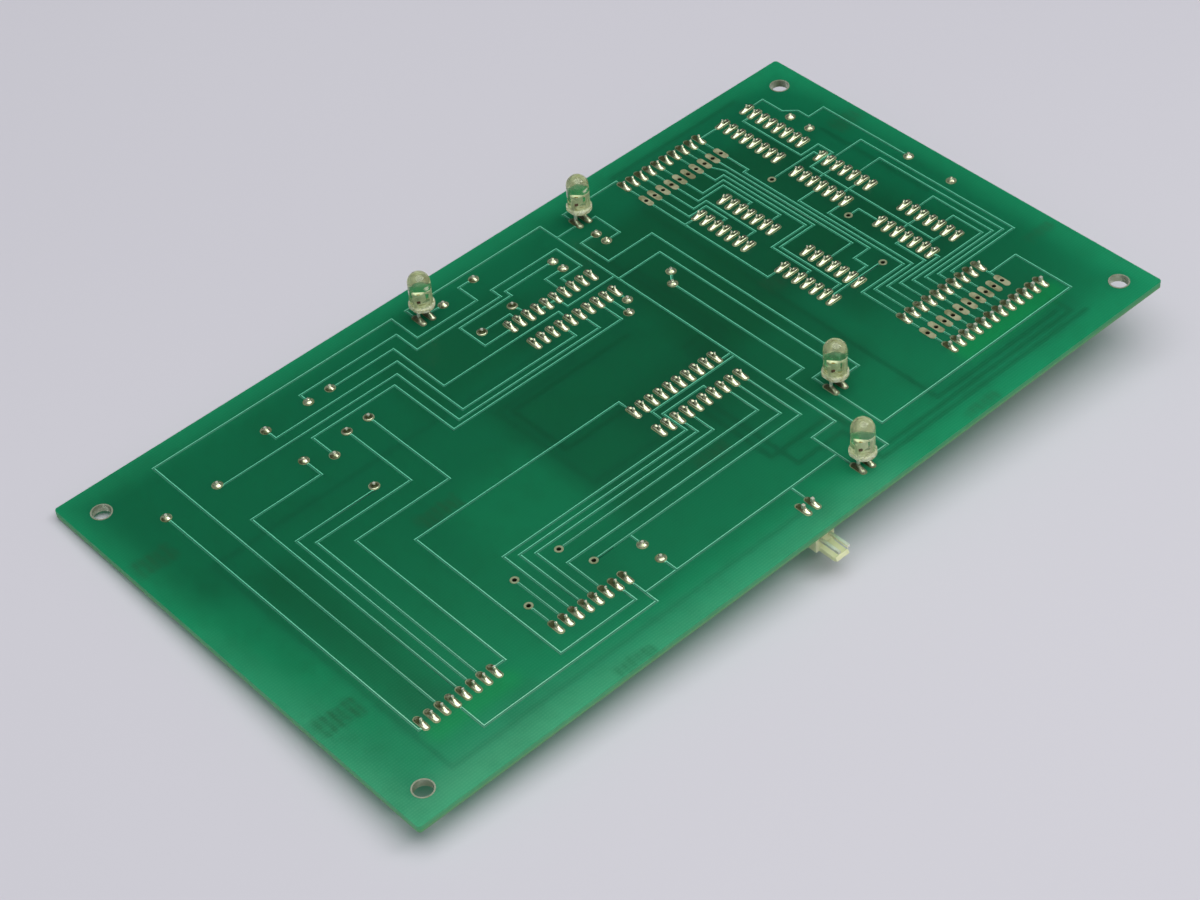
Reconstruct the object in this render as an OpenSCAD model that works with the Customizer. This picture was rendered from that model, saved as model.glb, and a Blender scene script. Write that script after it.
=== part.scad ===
// Display circuit board: a two-sided glass-fibre board with four clear lamps standing on its
// solder side, and all other parts on its component side, below.
// The origin is the middle of the four mounting holes, on the solder face. +Z points out of that
// face, +X runs along the long edge towards the crowded end, and +Y towards the two outer lamps.
// Places are given in inches on the board's drawing grid: u runs along X from the bare end, and
// v runs against Y from the edge beside the outer lamps.

/* [Board] */
// Length of the board
board_w = 203.2; // [203.2:0.2:212]
// Width of the board
board_d = 114.3; // [114.3:0.1:120]
// Thickness of the laminate
board_t = 1.6; // [1.2:0.1:2]
// Radius of the board's corners
corner_r = 0.8; // [0.4:0.1:2]

/* [Mounting holes] */
// Distance between the mounting holes along X
hole_span_x = 190.5; // [190:0.1:191]
// Distance between the mounting holes along Y
hole_span_y = 100.33; // [100:0.01:101]
// Radius of a mounting hole, inside its plating
hole_r = 2; // [1.6:0.05:2.1]
// Width of the bright rim around a mounting hole
hole_rim_w = 0.3; // [0.2:0.05:0.5]

/* [Copper] */
// Thickness of the tracks and pads
copper_t = 0.07; // [0.05:0.01:0.1]
// Width of a track on the solder side
track_w = 0.6; // [0.4:0.05:0.7]
// Width of a track on the component side
wide_track_w = 0.9; // [0.6:0.05:1]
// Length of an oval pad
oval_l = 4.3; // [3.6:0.1:4.5]
// Width of an oval pad
oval_w = 1.55; // [1.4:0.05:1.7]
// Radius of a round pad under a soldered wire
round_pad_r = 1.2; // [1:0.05:1.3]
// Radius of the ring around a bare through hole
via_r = 0.95; // [0.8:0.05:1.1]
// Radius of the hole drilled for a lead
drill_r = 0.55; // [0.52:0.01:0.6]

/* [Solder] */
// Height of a solder joint above its pad
solder_h = 1.15; // [0.9:0.05:1.2]
// Height of the clipped lead ends above the solder face
lead_rise = 1.45; // [1.4:0.05:1.8]
// Height of a hill of solder around a wire, above its pad
hill_h = 0.75; // [0.7:0.05:0.8]
// Height of the clipped wire ends above the solder face
wire_rise = 0.95; // [0.9:0.05:1.2]

/* [Lamps] */
// Radius of a lamp's round body
lamp_r = 2.5; // [2.3:0.1:2.6]
// Radius of the flange at a lamp's foot
lamp_flange_r = 2.85; // [2.8:0.05:3]
// Height of a lamp from flange to tip
lamp_h = 8.9; // [8.6:0.1:9.1]
// Gap between the board and a lamp's flange
lamp_stand = 3.6; // [2.5:0.1:5]

/* [Component side] */
// Gap between the board and a chip's body
chip_gap = 0.5; // [0.3:0.05:0.8]
// Height of a chip's body
chip_h = 3.3; // [3:0.1:3.6]
// Height of a resistor network's body
network_h = 4.4; // [4:0.1:5]
// Radius of a resistor's body
resistor_r = 1.15; // [1:0.05:1.25]
// Depth of the long plug header's pins below the board
plug_depth = 11.4; // [10:0.1:12]

/* [Hidden] */

inch = 25.4;
pitch = inch / 10;
mid_u = 4;
mid_v = 2.275;
board_mid_y = (mid_v - 2.25) * inch;
plating_t = 0.05;
bore_r = drill_r - plating_t;
seat_z = -board_t - copper_t;
chip_reach = 3 * pitch;
chip_pin_w = 0.46;
chip_pin_t = 0.25;
row_pin_w = 0.5;
row_pin_t = 0.3;
post_w = 0.64;
wire_r = 0.3;
lamp_wire_w = 0.5;
eps = 0.01;
$fn = 32;

// Places of the parts, each as u, v of its first pin and its pins in a row
drivers = [[3.905, 1.00, 10], [3.905, 2.50, 10]];
counter = [7.0, 0.335, 8];
logic = [[6.97, 1.285, 7], [6.97, 2.285, 7], [5.975, 1.10, 7], [5.975, 2.105, 7]];
networks = [[0.625, 3.78, 8], [1.93, 3.78, 8], [5.805, 0.335, 10], [6.205, 3.285, 10]];
open_rows = [[5.805, 0.615, 10], [6.205, 3.545, 10]];
plug_header = [6.205, 3.79, 12];
edge_header = [4.065, 4.24, 2];
lamps = [[3.43, 0.385], [5.18, 0.40], [5.18, 3.45], [4.68, 4.23]];
disc = [[7.49, 0.695], [7.49, 0.935]];
bead = [[2.955, 3.62], [2.955, 3.825]];
links = [[2.03, 3.195], [2.48, 3.195], [1.93, 3.47], [2.585, 3.475], [6.75, 1.205],
         [6.85, 2.03], [6.60, 2.67]];
// A resistor's first wire, and whether it lies along u or v to its second one
resistors_u = [[0.57, 0.725], [4.705, 0.63], [4.705, 0.76], [4.805, 1.455], [4.705, 1.58]];
resistors_v = [[1.72, 0.505], [1.93, 1.135], [2.17, 0.49], [2.395, 0.49], [3.70, 0.375],
               [4.09, 0.31], [7.79, 1.85]];
resistor_span = 0.5;

function at(u, v) = [(u - mid_u) * inch, (mid_v - v) * inch];
function row(p) = [for (k = [0:p[2] - 1]) at(p[0] + k / 10, p[1])];
function column(p) = [for (k = [0:p[2] - 1]) at(p[0], p[1] + k / 10)];
function driver_pins(p) = concat(row(p), row([p[0], p[1] + 0.3, p[2]]));
function upright_pins(p) = concat(column(p), column([p[0] + 0.3, p[1], p[2]]));
function pair(p) = [at(p[0], p[1]), at(p[0] + 0.1, p[1])];
function ends_u(p) = [at(p[0], p[1]), at(p[0] + resistor_span, p[1])];
function ends_v(p) = [at(p[0], p[1]), at(p[0], p[1] + resistor_span)];
function flat(lists) = [for (l = lists) each l];

chips = concat([counter], logic);
driver_places = flat([for (d = drivers) driver_pins(d)]);
upright_places = flat([for (c = chips) upright_pins(c)]);
network_places = flat([for (n = networks) row(n)]);
open_places = flat([for (r = open_rows) row(r)]);
header_places = concat(row(plug_header), row(edge_header));
lamp_places = flat([for (l = lamps) pair(l)]);
resistor_places = concat(flat([for (r = resistors_u) ends_u(r)]),
                         flat([for (r = resistors_v) ends_v(r)]));
capacitor_places = [for (p = concat(disc, bead)) at(p[0], p[1])];
link_places = [for (p = links) at(p[0], p[1])];
row_places = concat(network_places, header_places, lamp_places);
wire_places = concat(resistor_places, capacitor_places);
mounting_places = [for (x = [-1, 1], y = [-1, 1]) [x * hole_span_x / 2, y * hole_span_y / 2]];

// Routes of the solder-side tracks, in the bare half of the board
routes_left = [
    [[0.57, 0.725], [0.57, 3.815], [0.625, 3.815]],
    [[0.825, 3.78], [0.825, 0.20], [3.28, 0.20], [3.28, 0.54], [3.93, 0.54], [3.93, 0.305],
     [4.09, 0.305]],
    [[1.07, 0.725], [1.105, 0.76], [2.88, 0.76], [2.88, 1.545], [4.405, 1.545], [4.405, 1.30]],
    [[1.72, 0.505], [1.72, 0.64], [2.98, 0.64], [2.98, 1.475], [4.205, 1.475], [4.205, 1.30]],
    [[2.17, 0.49], [2.17, 0.38], [3.185, 0.38], [3.185, 0.65], [4.10, 0.65], [4.10, 0.53],
     [4.83, 0.53], [4.83, 0.85], [4.605, 0.85], [4.605, 1.0]],
    [[2.395, 0.50], [3.055, 0.50], [3.055, 1.15], [4.305, 1.15], [4.305, 1.30]],
    [[1.72, 1.005], [1.72, 1.23], [1.025, 1.23], [1.025, 3.78]],
    [[1.93, 1.135], [1.93, 0.85], [2.78, 0.85], [2.78, 1.60], [4.605, 1.60], [4.605, 1.30]],
    [[2.17, 0.99], [2.17, 1.795], [1.225, 1.795], [1.225, 3.78]],
    [[2.395, 0.99], [2.395, 2.0], [1.45, 2.0], [1.45, 3.75], [1.325, 3.75]],
    [[1.93, 1.635], [1.90, 1.67], [1.125, 1.67], [1.125, 3.78]],
    [[0.925, 3.78], [0.925, 4.125], [2.63, 4.125], [2.63, 3.78]],
    [[3.905, 2.50], [3.905, 2.325], [1.78, 2.325], [1.78, 4.0], [2.53, 4.0], [2.53, 3.78]],
    [[2.585, 3.475], [4.805, 3.475], [4.805, 2.80]],
    [[2.955, 3.475], [2.955, 3.62]],
    [[2.48, 3.195], [4.605, 3.195], [4.605, 2.80]],
    [[2.03, 3.195], [2.03, 3.78]],
    [[1.93, 3.47], [1.93, 3.78]],
    [[2.13, 3.78], [2.13, 2.95], [4.055, 2.95], [4.055, 2.68], [4.505, 2.68], [4.505, 2.80]],
    [[2.23, 3.78], [2.23, 3.025], [4.105, 3.025], [4.105, 2.80]],
    [[2.33, 3.78], [2.33, 3.10], [4.205, 3.10], [4.205, 2.80]],
    [[2.43, 3.78], [2.43, 3.35], [4.705, 3.35], [4.705, 2.80]]
];
// The long supply track with its branches
routes_supply = [
    [[2.63, 4.0], [4.68, 4.0]],
    [[4.68, 4.25], [4.68, 3.73], [4.935, 3.73], [4.935, 0.205], [3.43, 0.205], [3.43, 0.405]],
    [[2.955, 3.825], [2.955, 4.0]],
    [[4.165, 4.24], [4.165, 4.0]],
    [[4.805, 2.555], [4.935, 2.555]],
    [[4.005, 2.80], [4.01, 2.60], [4.935, 2.60]],
    [[4.405, 1.0], [4.405, 1.155], [4.935, 1.155]],
    [[4.205, 1.02], [4.405, 1.02]],
    [[4.935, 0.425], [5.18, 0.425]],
    [[4.935, 1.205], [5.41, 1.205], [5.41, 3.25], [5.18, 3.25], [5.18, 4.01], [7.425, 4.01],
     [7.425, 3.41], [7.105, 3.41], [7.105, 3.285]]
];
// Routes between the first driver, its resistors and the lamps
routes_middle = [
    [[3.905, 1.025], [3.605, 1.025], [3.605, 0.705], [4.17, 0.705], [4.17, 0.63], [4.705, 0.63]],
    [[3.70, 0.875], [4.005, 0.875], [4.005, 1.0]],
    [[4.09, 0.81], [4.105, 0.90], [4.105, 1.0]],
    [[4.705, 0.76], [4.505, 0.76], [4.505, 1.0]],
    [[4.705, 1.30], [4.705, 1.58]],
    [[4.805, 1.30], [4.805, 1.455]],
    [[3.53, 0.375], [3.70, 0.375]],
    [[5.18, 0.42], [5.18, 0.23], [5.805, 0.23], [5.805, 0.335]],
    [[5.28, 0.455], [5.355, 0.455], [5.355, 0.76], [5.205, 0.76]],
    [[5.205, 0.63], [5.03, 0.63], [5.03, 0.975], [5.535, 0.975], [5.535, 3.41], [5.28, 3.41],
     [5.28, 3.47]],
    [[5.205, 1.58], [5.305, 1.455]],
    [[5.205, 1.58], [5.205, 3.11], [5.03, 3.11], [5.03, 4.205], [4.78, 4.205], [4.78, 4.25]]
];
// Routes among the chips at the crowded end
routes_right = [
    [[5.805, 0.615], [5.805, 2.105], [5.975, 2.105]],
    [[5.805, 1.10], [5.975, 1.10]],
    [[5.905, 0.615], [5.905, 1.05], [6.105, 1.05], [6.105, 1.30], [5.975, 1.30]],
    [[6.005, 0.615], [6.005, 1.0], [6.155, 1.0], [6.155, 1.60], [5.975, 1.60]],
    [[6.105, 0.615], [6.105, 0.955], [6.405, 0.955], [6.405, 1.30], [6.275, 1.30]],
    [[6.205, 0.615], [6.205, 0.905], [6.455, 0.905], [6.455, 1.60], [6.275, 1.60]],
    [[6.405, 0.615], [6.405, 0.855], [6.505, 0.855], [6.505, 1.855], [6.105, 1.855],
     [6.105, 2.305], [5.975, 2.305]],
    [[6.505, 0.615], [6.505, 0.70], [6.555, 0.815], [6.555, 1.905], [6.155, 1.905],
     [6.155, 2.605], [5.975, 2.605]],
    [[6.605, 0.615], [6.605, 2.305], [6.275, 2.305]],
    [[6.705, 0.615], [6.705, 0.955], [6.655, 0.955], [6.655, 2.46], [6.475, 2.46],
     [6.475, 2.605], [6.275, 2.605]],
    [[6.705, 0.335], [7.0, 0.335]],
    [[7.3, 0.335], [7.5, 0.335], [7.5, 0.58], [7.60, 0.68], [7.60, 0.815], [7.79, 0.815],
     [7.79, 1.85]],
    [[7.3, 0.435], [7.16, 0.435], [7.16, 1.155], [7.375, 1.155], [7.375, 1.33], [7.105, 1.33],
     [7.105, 2.785]],
    [[6.75, 1.205], [7.27, 1.205], [7.27, 1.285]],
    [[7.27, 1.385], [7.675, 1.385], [7.675, 3.165], [6.905, 3.165], [6.905, 3.285]],
    [[6.97, 1.485], [7.27, 1.485]],
    [[6.97, 1.785], [7.27, 1.785]],
    [[6.97, 2.485], [7.27, 2.485]],
    [[6.97, 2.785], [7.27, 2.785]],
    [[6.97, 1.585], [6.70, 1.585], [6.70, 2.81], [6.205, 2.81], [6.205, 3.285]],
    [[7.27, 1.685], [7.60, 1.685], [7.60, 3.11], [6.805, 3.11], [6.805, 3.285]],
    [[6.97, 1.885], [6.755, 1.885], [6.755, 2.86], [6.305, 2.86], [6.305, 3.285]],
    [[6.85, 2.035], [6.97, 2.035], [6.97, 2.285]],
    [[7.27, 2.385], [7.525, 2.385], [7.525, 3.06], [6.705, 3.06], [6.705, 3.285]],
    [[6.97, 2.585], [6.855, 2.585], [6.855, 2.91], [6.405, 2.91], [6.405, 3.285]],
    [[7.27, 2.685], [7.45, 2.685], [7.45, 3.01], [6.605, 3.01], [6.605, 3.285]],
    [[6.97, 2.885], [6.97, 2.96], [6.505, 2.96], [6.505, 3.285]],
    [[6.60, 2.67], [6.56, 2.66], [6.04, 2.66], [5.975, 2.705]]
];
// Short straight links between the rows of the two network places and the plug header
routes_links = concat(
    [for (k = [0, 1, 2, 3, 4, 6, 7, 8, 9]) [[5.805 + k / 10, 0.335], [5.805 + k / 10, 0.615]]],
    [for (k = [0, 1, 2, 3, 4, 5, 6, 7, 9]) [[6.205 + k / 10, 3.285], [6.205 + k / 10, 3.545]]],
    [for (k = [0:7]) [[6.205 + k / 10, 3.545], [6.205 + k / 10, 3.79]]]
);
// Routes of the component-side tracks, seen as darker bands through the laminate
routes_below = [
    [[2.03, 3.195], [2.48, 3.195]],
    [[1.93, 3.47], [2.585, 3.475]],
    [[6.75, 1.205], [6.85, 1.305], [6.85, 2.03]],
    [[6.60, 2.67], [6.60, 2.20], [6.76, 2.03], [6.85, 2.03]],
    [[3.905, 1.30], [3.905, 1.42], [0.52, 1.42], [0.52, 4.25], [4.065, 4.25]],
    [[4.005, 1.30], [4.005, 1.70], [3.15, 1.70], [3.15, 2.86], [3.905, 2.86]],
    [[4.505, 1.30], [4.505, 1.78], [3.25, 1.78], [3.25, 2.42], [4.005, 2.42], [4.005, 2.50]],
    [[4.705, 1.0], [4.705, 1.15], [5.11, 1.15], [5.11, 2.35], [4.805, 2.35], [4.805, 2.50]],
    [[4.805, 1.0], [5.03, 1.0], [5.03, 2.22], [4.705, 2.22], [4.705, 2.50]],
    [[7.205, 3.79], [7.205, 4.20], [4.98, 4.20], [4.98, 3.65], [4.305, 3.65], [4.305, 2.80]],
    [[7.305, 3.79], [7.305, 4.28], [4.90, 4.28], [4.90, 3.85], [4.405, 3.85], [4.405, 2.80]],
    [[7.105, 3.79], [7.105, 4.12], [5.70, 4.12], [5.70, 0.70], [5.805, 0.615]],
    [[7.49, 0.935], [7.56, 1.02], [7.56, 2.285], [7.27, 2.285]],
    [[5.805, 0.335], [5.805, 0.17], [7.3, 0.17], [7.3, 0.335]],
    [[7.0, 1.035], [6.90, 1.10], [6.90, 1.285], [6.97, 1.285]],
    [[5.975, 1.70], [5.885, 1.78], [5.885, 2.60], [5.975, 2.705]],
    [[6.275, 1.10], [6.36, 1.10], [6.36, 2.105], [6.275, 2.105]]
];

// Outline of a track along a route, with mitred corners
function unit(v) = v / norm(v);
function leftwards(v) = [-v[1], v[0]];
function heading(p, i) = unit(p[min(i + 1, len(p) - 1)] - p[min(i, len(p) - 2)]);
function trail(p, i) = i == 0 ? heading(p, 0) : heading(p, i - 1);
function mitre(a, b) = (leftwards(a) + leftwards(b)) / (1 + a * b);
function edge_point(p, i, off) = p[i] + off * mitre(trail(p, i), heading(p, i));
function strip(p, w) = concat(
    [for (i = [0:len(p) - 1]) edge_point(p, i, w / 2)],
    [for (i = [len(p) - 1:-1:0]) edge_point(p, i, -w / 2)]
);

module track(route, w) {
    linear_extrude(copper_t)
        polygon(strip([for (q = route) at(q[0], q[1])], w));
}

// Flat outline with round ends, its length along Y
module oval(l, w) {
    square([w, l - w], center = true);
    for (s = [-1, 1])
        translate([0, s * (l - w) / 2]) circle(w / 2);
}

module oval_pad(turn) {
    rotate(turn) oval(oval_l, oval_w);
}

module each_place(places) {
    for (p = places)
        translate(p) children();
}

// A plated hole: a pad on each face and the barrel that joins them
module eyelet(bore = bore_r) {
    difference() {
        union() {
            linear_extrude(copper_t) children();
            translate([0, 0, seat_z]) linear_extrude(copper_t) children();
            translate([0, 0, -board_t]) cylinder(r = bore + plating_t, h = board_t);
        }
        translate([0, 0, -board_t - 1]) cylinder(r = bore, h = board_t + 2);
    }
}

module board_laminate() {
    color("seagreen") difference() {
        translate([0, board_mid_y, -board_t]) linear_extrude(board_t) {
            square([board_w - 2 * corner_r, board_d], center = true);
            square([board_w, board_d - 2 * corner_r], center = true);
            for (x = [-1, 1], y = [-1, 1])
                translate([x * (board_w / 2 - corner_r), y * (board_d / 2 - corner_r)])
                    circle(corner_r);
        }
        translate([0, 0, -board_t - 1]) {
            each_place(mounting_places) cylinder(r = hole_r + plating_t, h = board_t + 2);
            each_place(concat(driver_places, upright_places, row_places, open_places,
                              wire_places, link_places))
                cylinder(r = drill_r, h = board_t + 2);
        }
    }
}

module plated_mounting_holes() {
    color("silver") each_place(mounting_places)
        eyelet(hole_r) circle(hole_r + hole_rim_w);
}

// Cuts the tracks of one face back to the pads that they meet
module pad_cutter() {
    translate([0, 0, -eps]) linear_extrude(copper_t + 2 * eps) {
        each_place(concat(driver_places, row_places, open_places)) oval_pad(0);
        each_place(upright_places) oval_pad(90);
        each_place(wire_places) circle(round_pad_r);
        each_place(link_places) circle(via_r);
    }
}

module solder_side_tracks() {
    color("mediumaquamarine") difference() {
        for (r = concat(routes_left, routes_supply, routes_middle, routes_right, routes_links))
            track(r, track_w);
        pad_cutter();
    }
}

module component_side_tracks() {
    color("mediumseagreen") translate([0, 0, seat_z]) difference() {
        for (r = routes_below)
            track(r, wide_track_w);
        pad_cutter();
    }
}

module chip_pads() {
    color("silver") {
        each_place(driver_places) eyelet() oval_pad(0);
        each_place(upright_places) eyelet() oval_pad(90);
    }
}

module row_pads() {
    color("silver") each_place(row_places) eyelet() oval_pad(0);
}

module open_row_pads() {
    color("tan") each_place(open_places) eyelet() oval_pad(0);
}

module wire_pads() {
    color("silver") each_place(wire_places) eyelet() circle(round_pad_r);
}

module through_hole_links() {
    color("tan") each_place(link_places) eyelet() circle(via_r);
}

// A chip's moulded body, its length along X, hung below the board
module chip_body(pins) {
    length = pitch * pins + 0.8;
    half_w = 3.25;
    draft = 0.25;
    band = 0.15;
    half_h = chip_h / 2;
    color("dimgray") translate([0, 0, seat_z - chip_gap - half_h]) difference() {
        rotate([90, 0, 90]) linear_extrude(length, center = true)
            polygon([[-half_w, -band], [-half_w + draft, -half_h], [half_w - draft, -half_h],
                     [half_w, -band], [half_w, band], [half_w - draft, half_h],
                     [-half_w + draft, half_h], [-half_w, band]]);
        translate([-length / 2, 0, -half_h]) cylinder(r = 0.8, h = 1, center = true);
        translate([-length / 2 + 1.6, 1.9, -half_h]) cylinder(r = 0.5, h = 0.4, center = true);
    }
}

// One side's pin: out of the body, up to the board as a broad shoulder, and through as a tail
module chip_pin() {
    middle_z = seat_z - chip_gap - chip_h / 2;
    half_w = 3.25;
    broad = 1.3;
    translate([-broad / 2, half_w, middle_z - chip_pin_t / 2])
        cube([broad, chip_reach / 2 + chip_pin_t / 2 - half_w, chip_pin_t]);
    translate([-broad / 2, chip_reach / 2 - chip_pin_t / 2, middle_z - chip_pin_t / 2])
        cube([broad, chip_pin_t, seat_z - middle_z + chip_pin_t / 2]);
    translate([-chip_pin_w / 2, chip_reach / 2 - chip_pin_t / 2, middle_z])
        cube([chip_pin_w, chip_pin_t, lead_rise - middle_z]);
}

module chip_pins(pins) {
    color("silver")
        for (k = [0:pins - 1], side = [0, 180])
            translate([(k - (pins - 1) / 2) * pitch, 0, 0]) rotate(side) chip_pin();
}

// Puts a chip whose length runs along X with its pins on their holes
module place_driver(d) {
    translate(at(d[0] + (d[2] - 1) / 20, d[1] + 0.15)) children();
}

// Puts a chip whose length runs along Y with its pins on their holes
module place_upright(c) {
    translate(at(c[0] + 0.15, c[1] + (c[2] - 1) / 20)) rotate(-90) children();
}

// A coated row of resistors on a ceramic strip
module network_body(pins) {
    length = pitch * pins - 0.4;
    thick = 2.4;
    color("saddlebrown") translate([0, 0, seat_z - 0.4 - network_h]) linear_extrude(network_h) {
        square([length - thick, thick], center = true);
        for (s = [-1, 1])
            translate([s * (length - thick) / 2, 0]) circle(thick / 2);
    }
}

module network_pins(pins) {
    color("silver")
        for (k = [0:pins - 1])
            translate([(k - (pins - 1) / 2) * pitch, 0, 0]) {
                translate([-row_pin_w / 2, -row_pin_t / 2, seat_z - 0.4])
                    cube([row_pin_w, row_pin_t, lead_rise - seat_z + 0.4]);
                translate([-0.7, -row_pin_t / 2, seat_z - 0.4])
                    cube([1.4, row_pin_t, 0.4]);
            }
}

module place_row(n) {
    translate(at(n[0] + (n[2] - 1) / 20, n[1])) children();
}

// Nylon base of the long header, with the wall that a plug locks on
module plug_header_base() {
    length = pitch * plug_header[2];
    color("ivory") place_row(plug_header) difference() {
        translate([0, 0, seat_z]) rotate([90, 0, 90]) linear_extrude(length, center = true)
            polygon([[-1.9, 0], [-1.9, -3.2], [1.9, -3.2], [1.9, -8.6], [1.5, -9.0],
                     [1.5, -9.6], [2.3, -9.6], [3.1, -8.4], [3.1, 0]]);
        for (k = [0:plug_header[2] - 1])
            translate([(k - (plug_header[2] - 1) / 2) * pitch, 0, 0])
                cube([post_w, post_w, 20], center = true);
    }
}

module plug_header_pins() {
    color("silver") place_row(plug_header)
        for (k = [0:plug_header[2] - 1])
            translate([(k - (plug_header[2] - 1) / 2) * pitch, 0, 0])
                translate([-post_w / 2, -post_w / 2, -board_t - plug_depth])
                    cube([post_w, post_w, plug_depth + board_t + lead_rise]);
}

edge_pin_z = -5;
edge_pin_reach = 9.7;

// Bent pin of the edge header: down from its hole, then out past the board's edge
module edge_pin() {
    half = post_w / 2;
    translate([-half, -half, edge_pin_z - half])
        cube([post_w, post_w, lead_rise - edge_pin_z + half]);
    translate([-half, -edge_pin_reach, edge_pin_z - half])
        cube([post_w, edge_pin_reach, post_w]);
}

module edge_header_pins() {
    color("silver") each_place(row(edge_header)) edge_pin();
}

// Nylon block that holds the bent pins, with the tongue that a plug locks on
module edge_header_base() {
    width = 2 * pitch;
    color("ivory") place_row(edge_header) difference() {
        rotate([90, 0, 90]) linear_extrude(width, center = true)
            polygon([[-1.2, seat_z], [-4.6, seat_z], [-4.6, -6.6], [-8.6, -6.9], [-9.0, -6.5],
                     [-9.6, -7.3], [-8.6, -7.9], [-1.2, -7.9]]);
        for (k = [-0.5, 0.5])
            translate([k * pitch, -3, edge_pin_z]) cube([post_w, 8, post_w], center = true);
        for (s = [-1, 1])
            translate([s * width / 2, -8.6, -7]) cube([1.6, 8, 4], center = true);
    }
}

// A resistor's body, waisted between its two end caps, along X
module resistor_body() {
    color("burlywood") translate([0, 0, seat_z - resistor_r]) rotate([0, 90, 0])
        rotate_extrude()
            polygon([[0, -3.1], [0.7, -3.1], [resistor_r, -2.7], [resistor_r, -1.9],
                     [resistor_r - 0.25, -1.4], [resistor_r - 0.25, 1.4], [resistor_r, 1.9],
                     [resistor_r, 2.7], [0.7, 3.1], [0, 3.1]]);
}

// The two wires of a resistor: out of its ends, and up through the board
module resistor_wire_pair() {
    half_span = resistor_span * inch / 2;
    axis_z = seat_z - resistor_r;
    color("silver")
        for (s = [0, 180])
            rotate(s) {
                translate([3.1, 0, axis_z]) rotate([0, 90, 0])
                    cylinder(r = wire_r, h = half_span - 3.1);
                translate([half_span, 0, axis_z]) sphere(wire_r);
                translate([half_span, 0, axis_z]) cylinder(r = wire_r, h = wire_rise - axis_z);
            }
}

module each_resistor() {
    for (p = resistors_u)
        translate(at(p[0] + resistor_span / 2, p[1])) children();
    for (p = resistors_v)
        translate(at(p[0], p[1] + resistor_span / 2)) rotate(90) children();
}

module place_between(ends) {
    middle = (ends[0] + ends[1]) / 2;
    translate(at(middle[0], middle[1])) rotate(90) children();
}

// A coated round plate standing on its edge, with its wires at its foot
module round_plate(r, thick, gap) {
    half = thick / 2;
    translate([0, 0, seat_z - gap - r]) rotate([90, 0, 0]) rotate_extrude() {
        translate([0, -half]) square([r - half, thick]);
        intersection() {
            translate([r - half, 0]) circle(half);
            translate([0, -half]) square([r, thick]);
        }
    }
}

module plate_wires(ends, r, gap) {
    half_span = norm(ends[1] - ends[0]) * inch / 2;
    foot = gap + r;
    difference() {
        for (s = [-1, 1])
            translate([s * half_span, 0, seat_z - foot]) cylinder(r = wire_r, h = wire_rise + foot - seat_z);
        children();
    }
}

disc_r = 4.2;
disc_gap = 1.3;
bead_r = 3.0;
bead_gap = 1.0;

module disc_capacitor() {
    color("peru") place_between(disc) difference() {
        round_plate(disc_r, 2.6, disc_gap);
        plate_wires(disc, disc_r, disc_gap);
    }
}

module disc_capacitor_wires() {
    color("silver") place_between(disc) plate_wires(disc, disc_r, disc_gap);
}

module bead_capacitor() {
    color("orange") place_between(bead) difference() {
        round_plate(bead_r, 2.4, bead_gap);
        plate_wires(bead, bead_r, bead_gap);
    }
}

module bead_capacitor_wires() {
    color("silver") place_between(bead) plate_wires(bead, bead_r, bead_gap);
}

lamp_post_h = 3.4;
lamp_cup_x = -0.35;
lamp_cup_r = 0.85;
lamp_dish_z = lamp_stand + lamp_post_h + 0.4;

// One square post of a lamp, from below the board to the top of its frame
module lamp_post(x) {
    translate([x - lamp_wire_w / 2, -lamp_wire_w / 2, -board_t - 1])
        cube([lamp_wire_w, lamp_wire_w, board_t + 1 + lamp_stand + lamp_post_h]);
}

// The two lead frames of a lamp, the left one broad, with the reflector dish for the die
module lamp_leads() {
    left_x = -pitch / 2 - lamp_wire_w / 2;
    lamp_post(-pitch / 2);
    lamp_post(pitch / 2);
    translate([0.75, -lamp_wire_w / 2, lamp_stand + lamp_post_h])
        cube([0.77, lamp_wire_w, 0.5]);
    difference() {
        union() {
            translate([0, lamp_wire_w / 2, lamp_stand]) rotate([90, 0, 0])
                linear_extrude(lamp_wire_w)
                    polygon([[left_x, 1.2], [left_x + 0.6, 1.2], [0.5, 2.1],
                             [0.5, lamp_post_h], [left_x, lamp_post_h]]);
            translate([lamp_cup_x, 0, lamp_stand + lamp_post_h])
                cylinder(r = lamp_cup_r, h = 0.8);
        }
        translate([lamp_cup_x, 0, lamp_dish_z]) cylinder(r1 = 0.4, r2 = 0.75, h = 0.4 + eps);
    }
}

module lamp_die() {
    translate([lamp_cup_x, 0, lamp_dish_z + 0.12]) cube([0.35, 0.35, 0.24], center = true);
}

// The dark chip on the near face of the broad lead frame, low in the lamp
module lamp_chip() {
    translate([-0.8, -lamp_wire_w / 2 - 0.1, lamp_stand + 2.1]) cube([0.6, 0.2, 0.6], center = true);
}

module lamp_lens() {
    color("honeydew", 0.6) difference() {
        translate([0, 0, lamp_stand]) {
            difference() {
                cylinder(r = lamp_flange_r, h = 1);
                translate([-lamp_flange_r - lamp_r, -4, -1]) cube([lamp_flange_r, 8, 3]);
            }
            cylinder(r = lamp_r, h = lamp_h - lamp_r);
            translate([0, 0, lamp_h - lamp_r]) sphere(lamp_r);
        }
        lamp_leads();
        lamp_die();
        lamp_chip();
    }
}

module place_lamp(k) {
    translate(at(lamps[k][0] + 0.05, lamps[k][1])) children();
}

module lamp_dies() {
    color("gold") for (k = [0:3]) place_lamp(k) lamp_die();
}

module lamp_chips() {
    color("maroon") for (k = [0:3]) place_lamp(k) lamp_chip();
}

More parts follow.
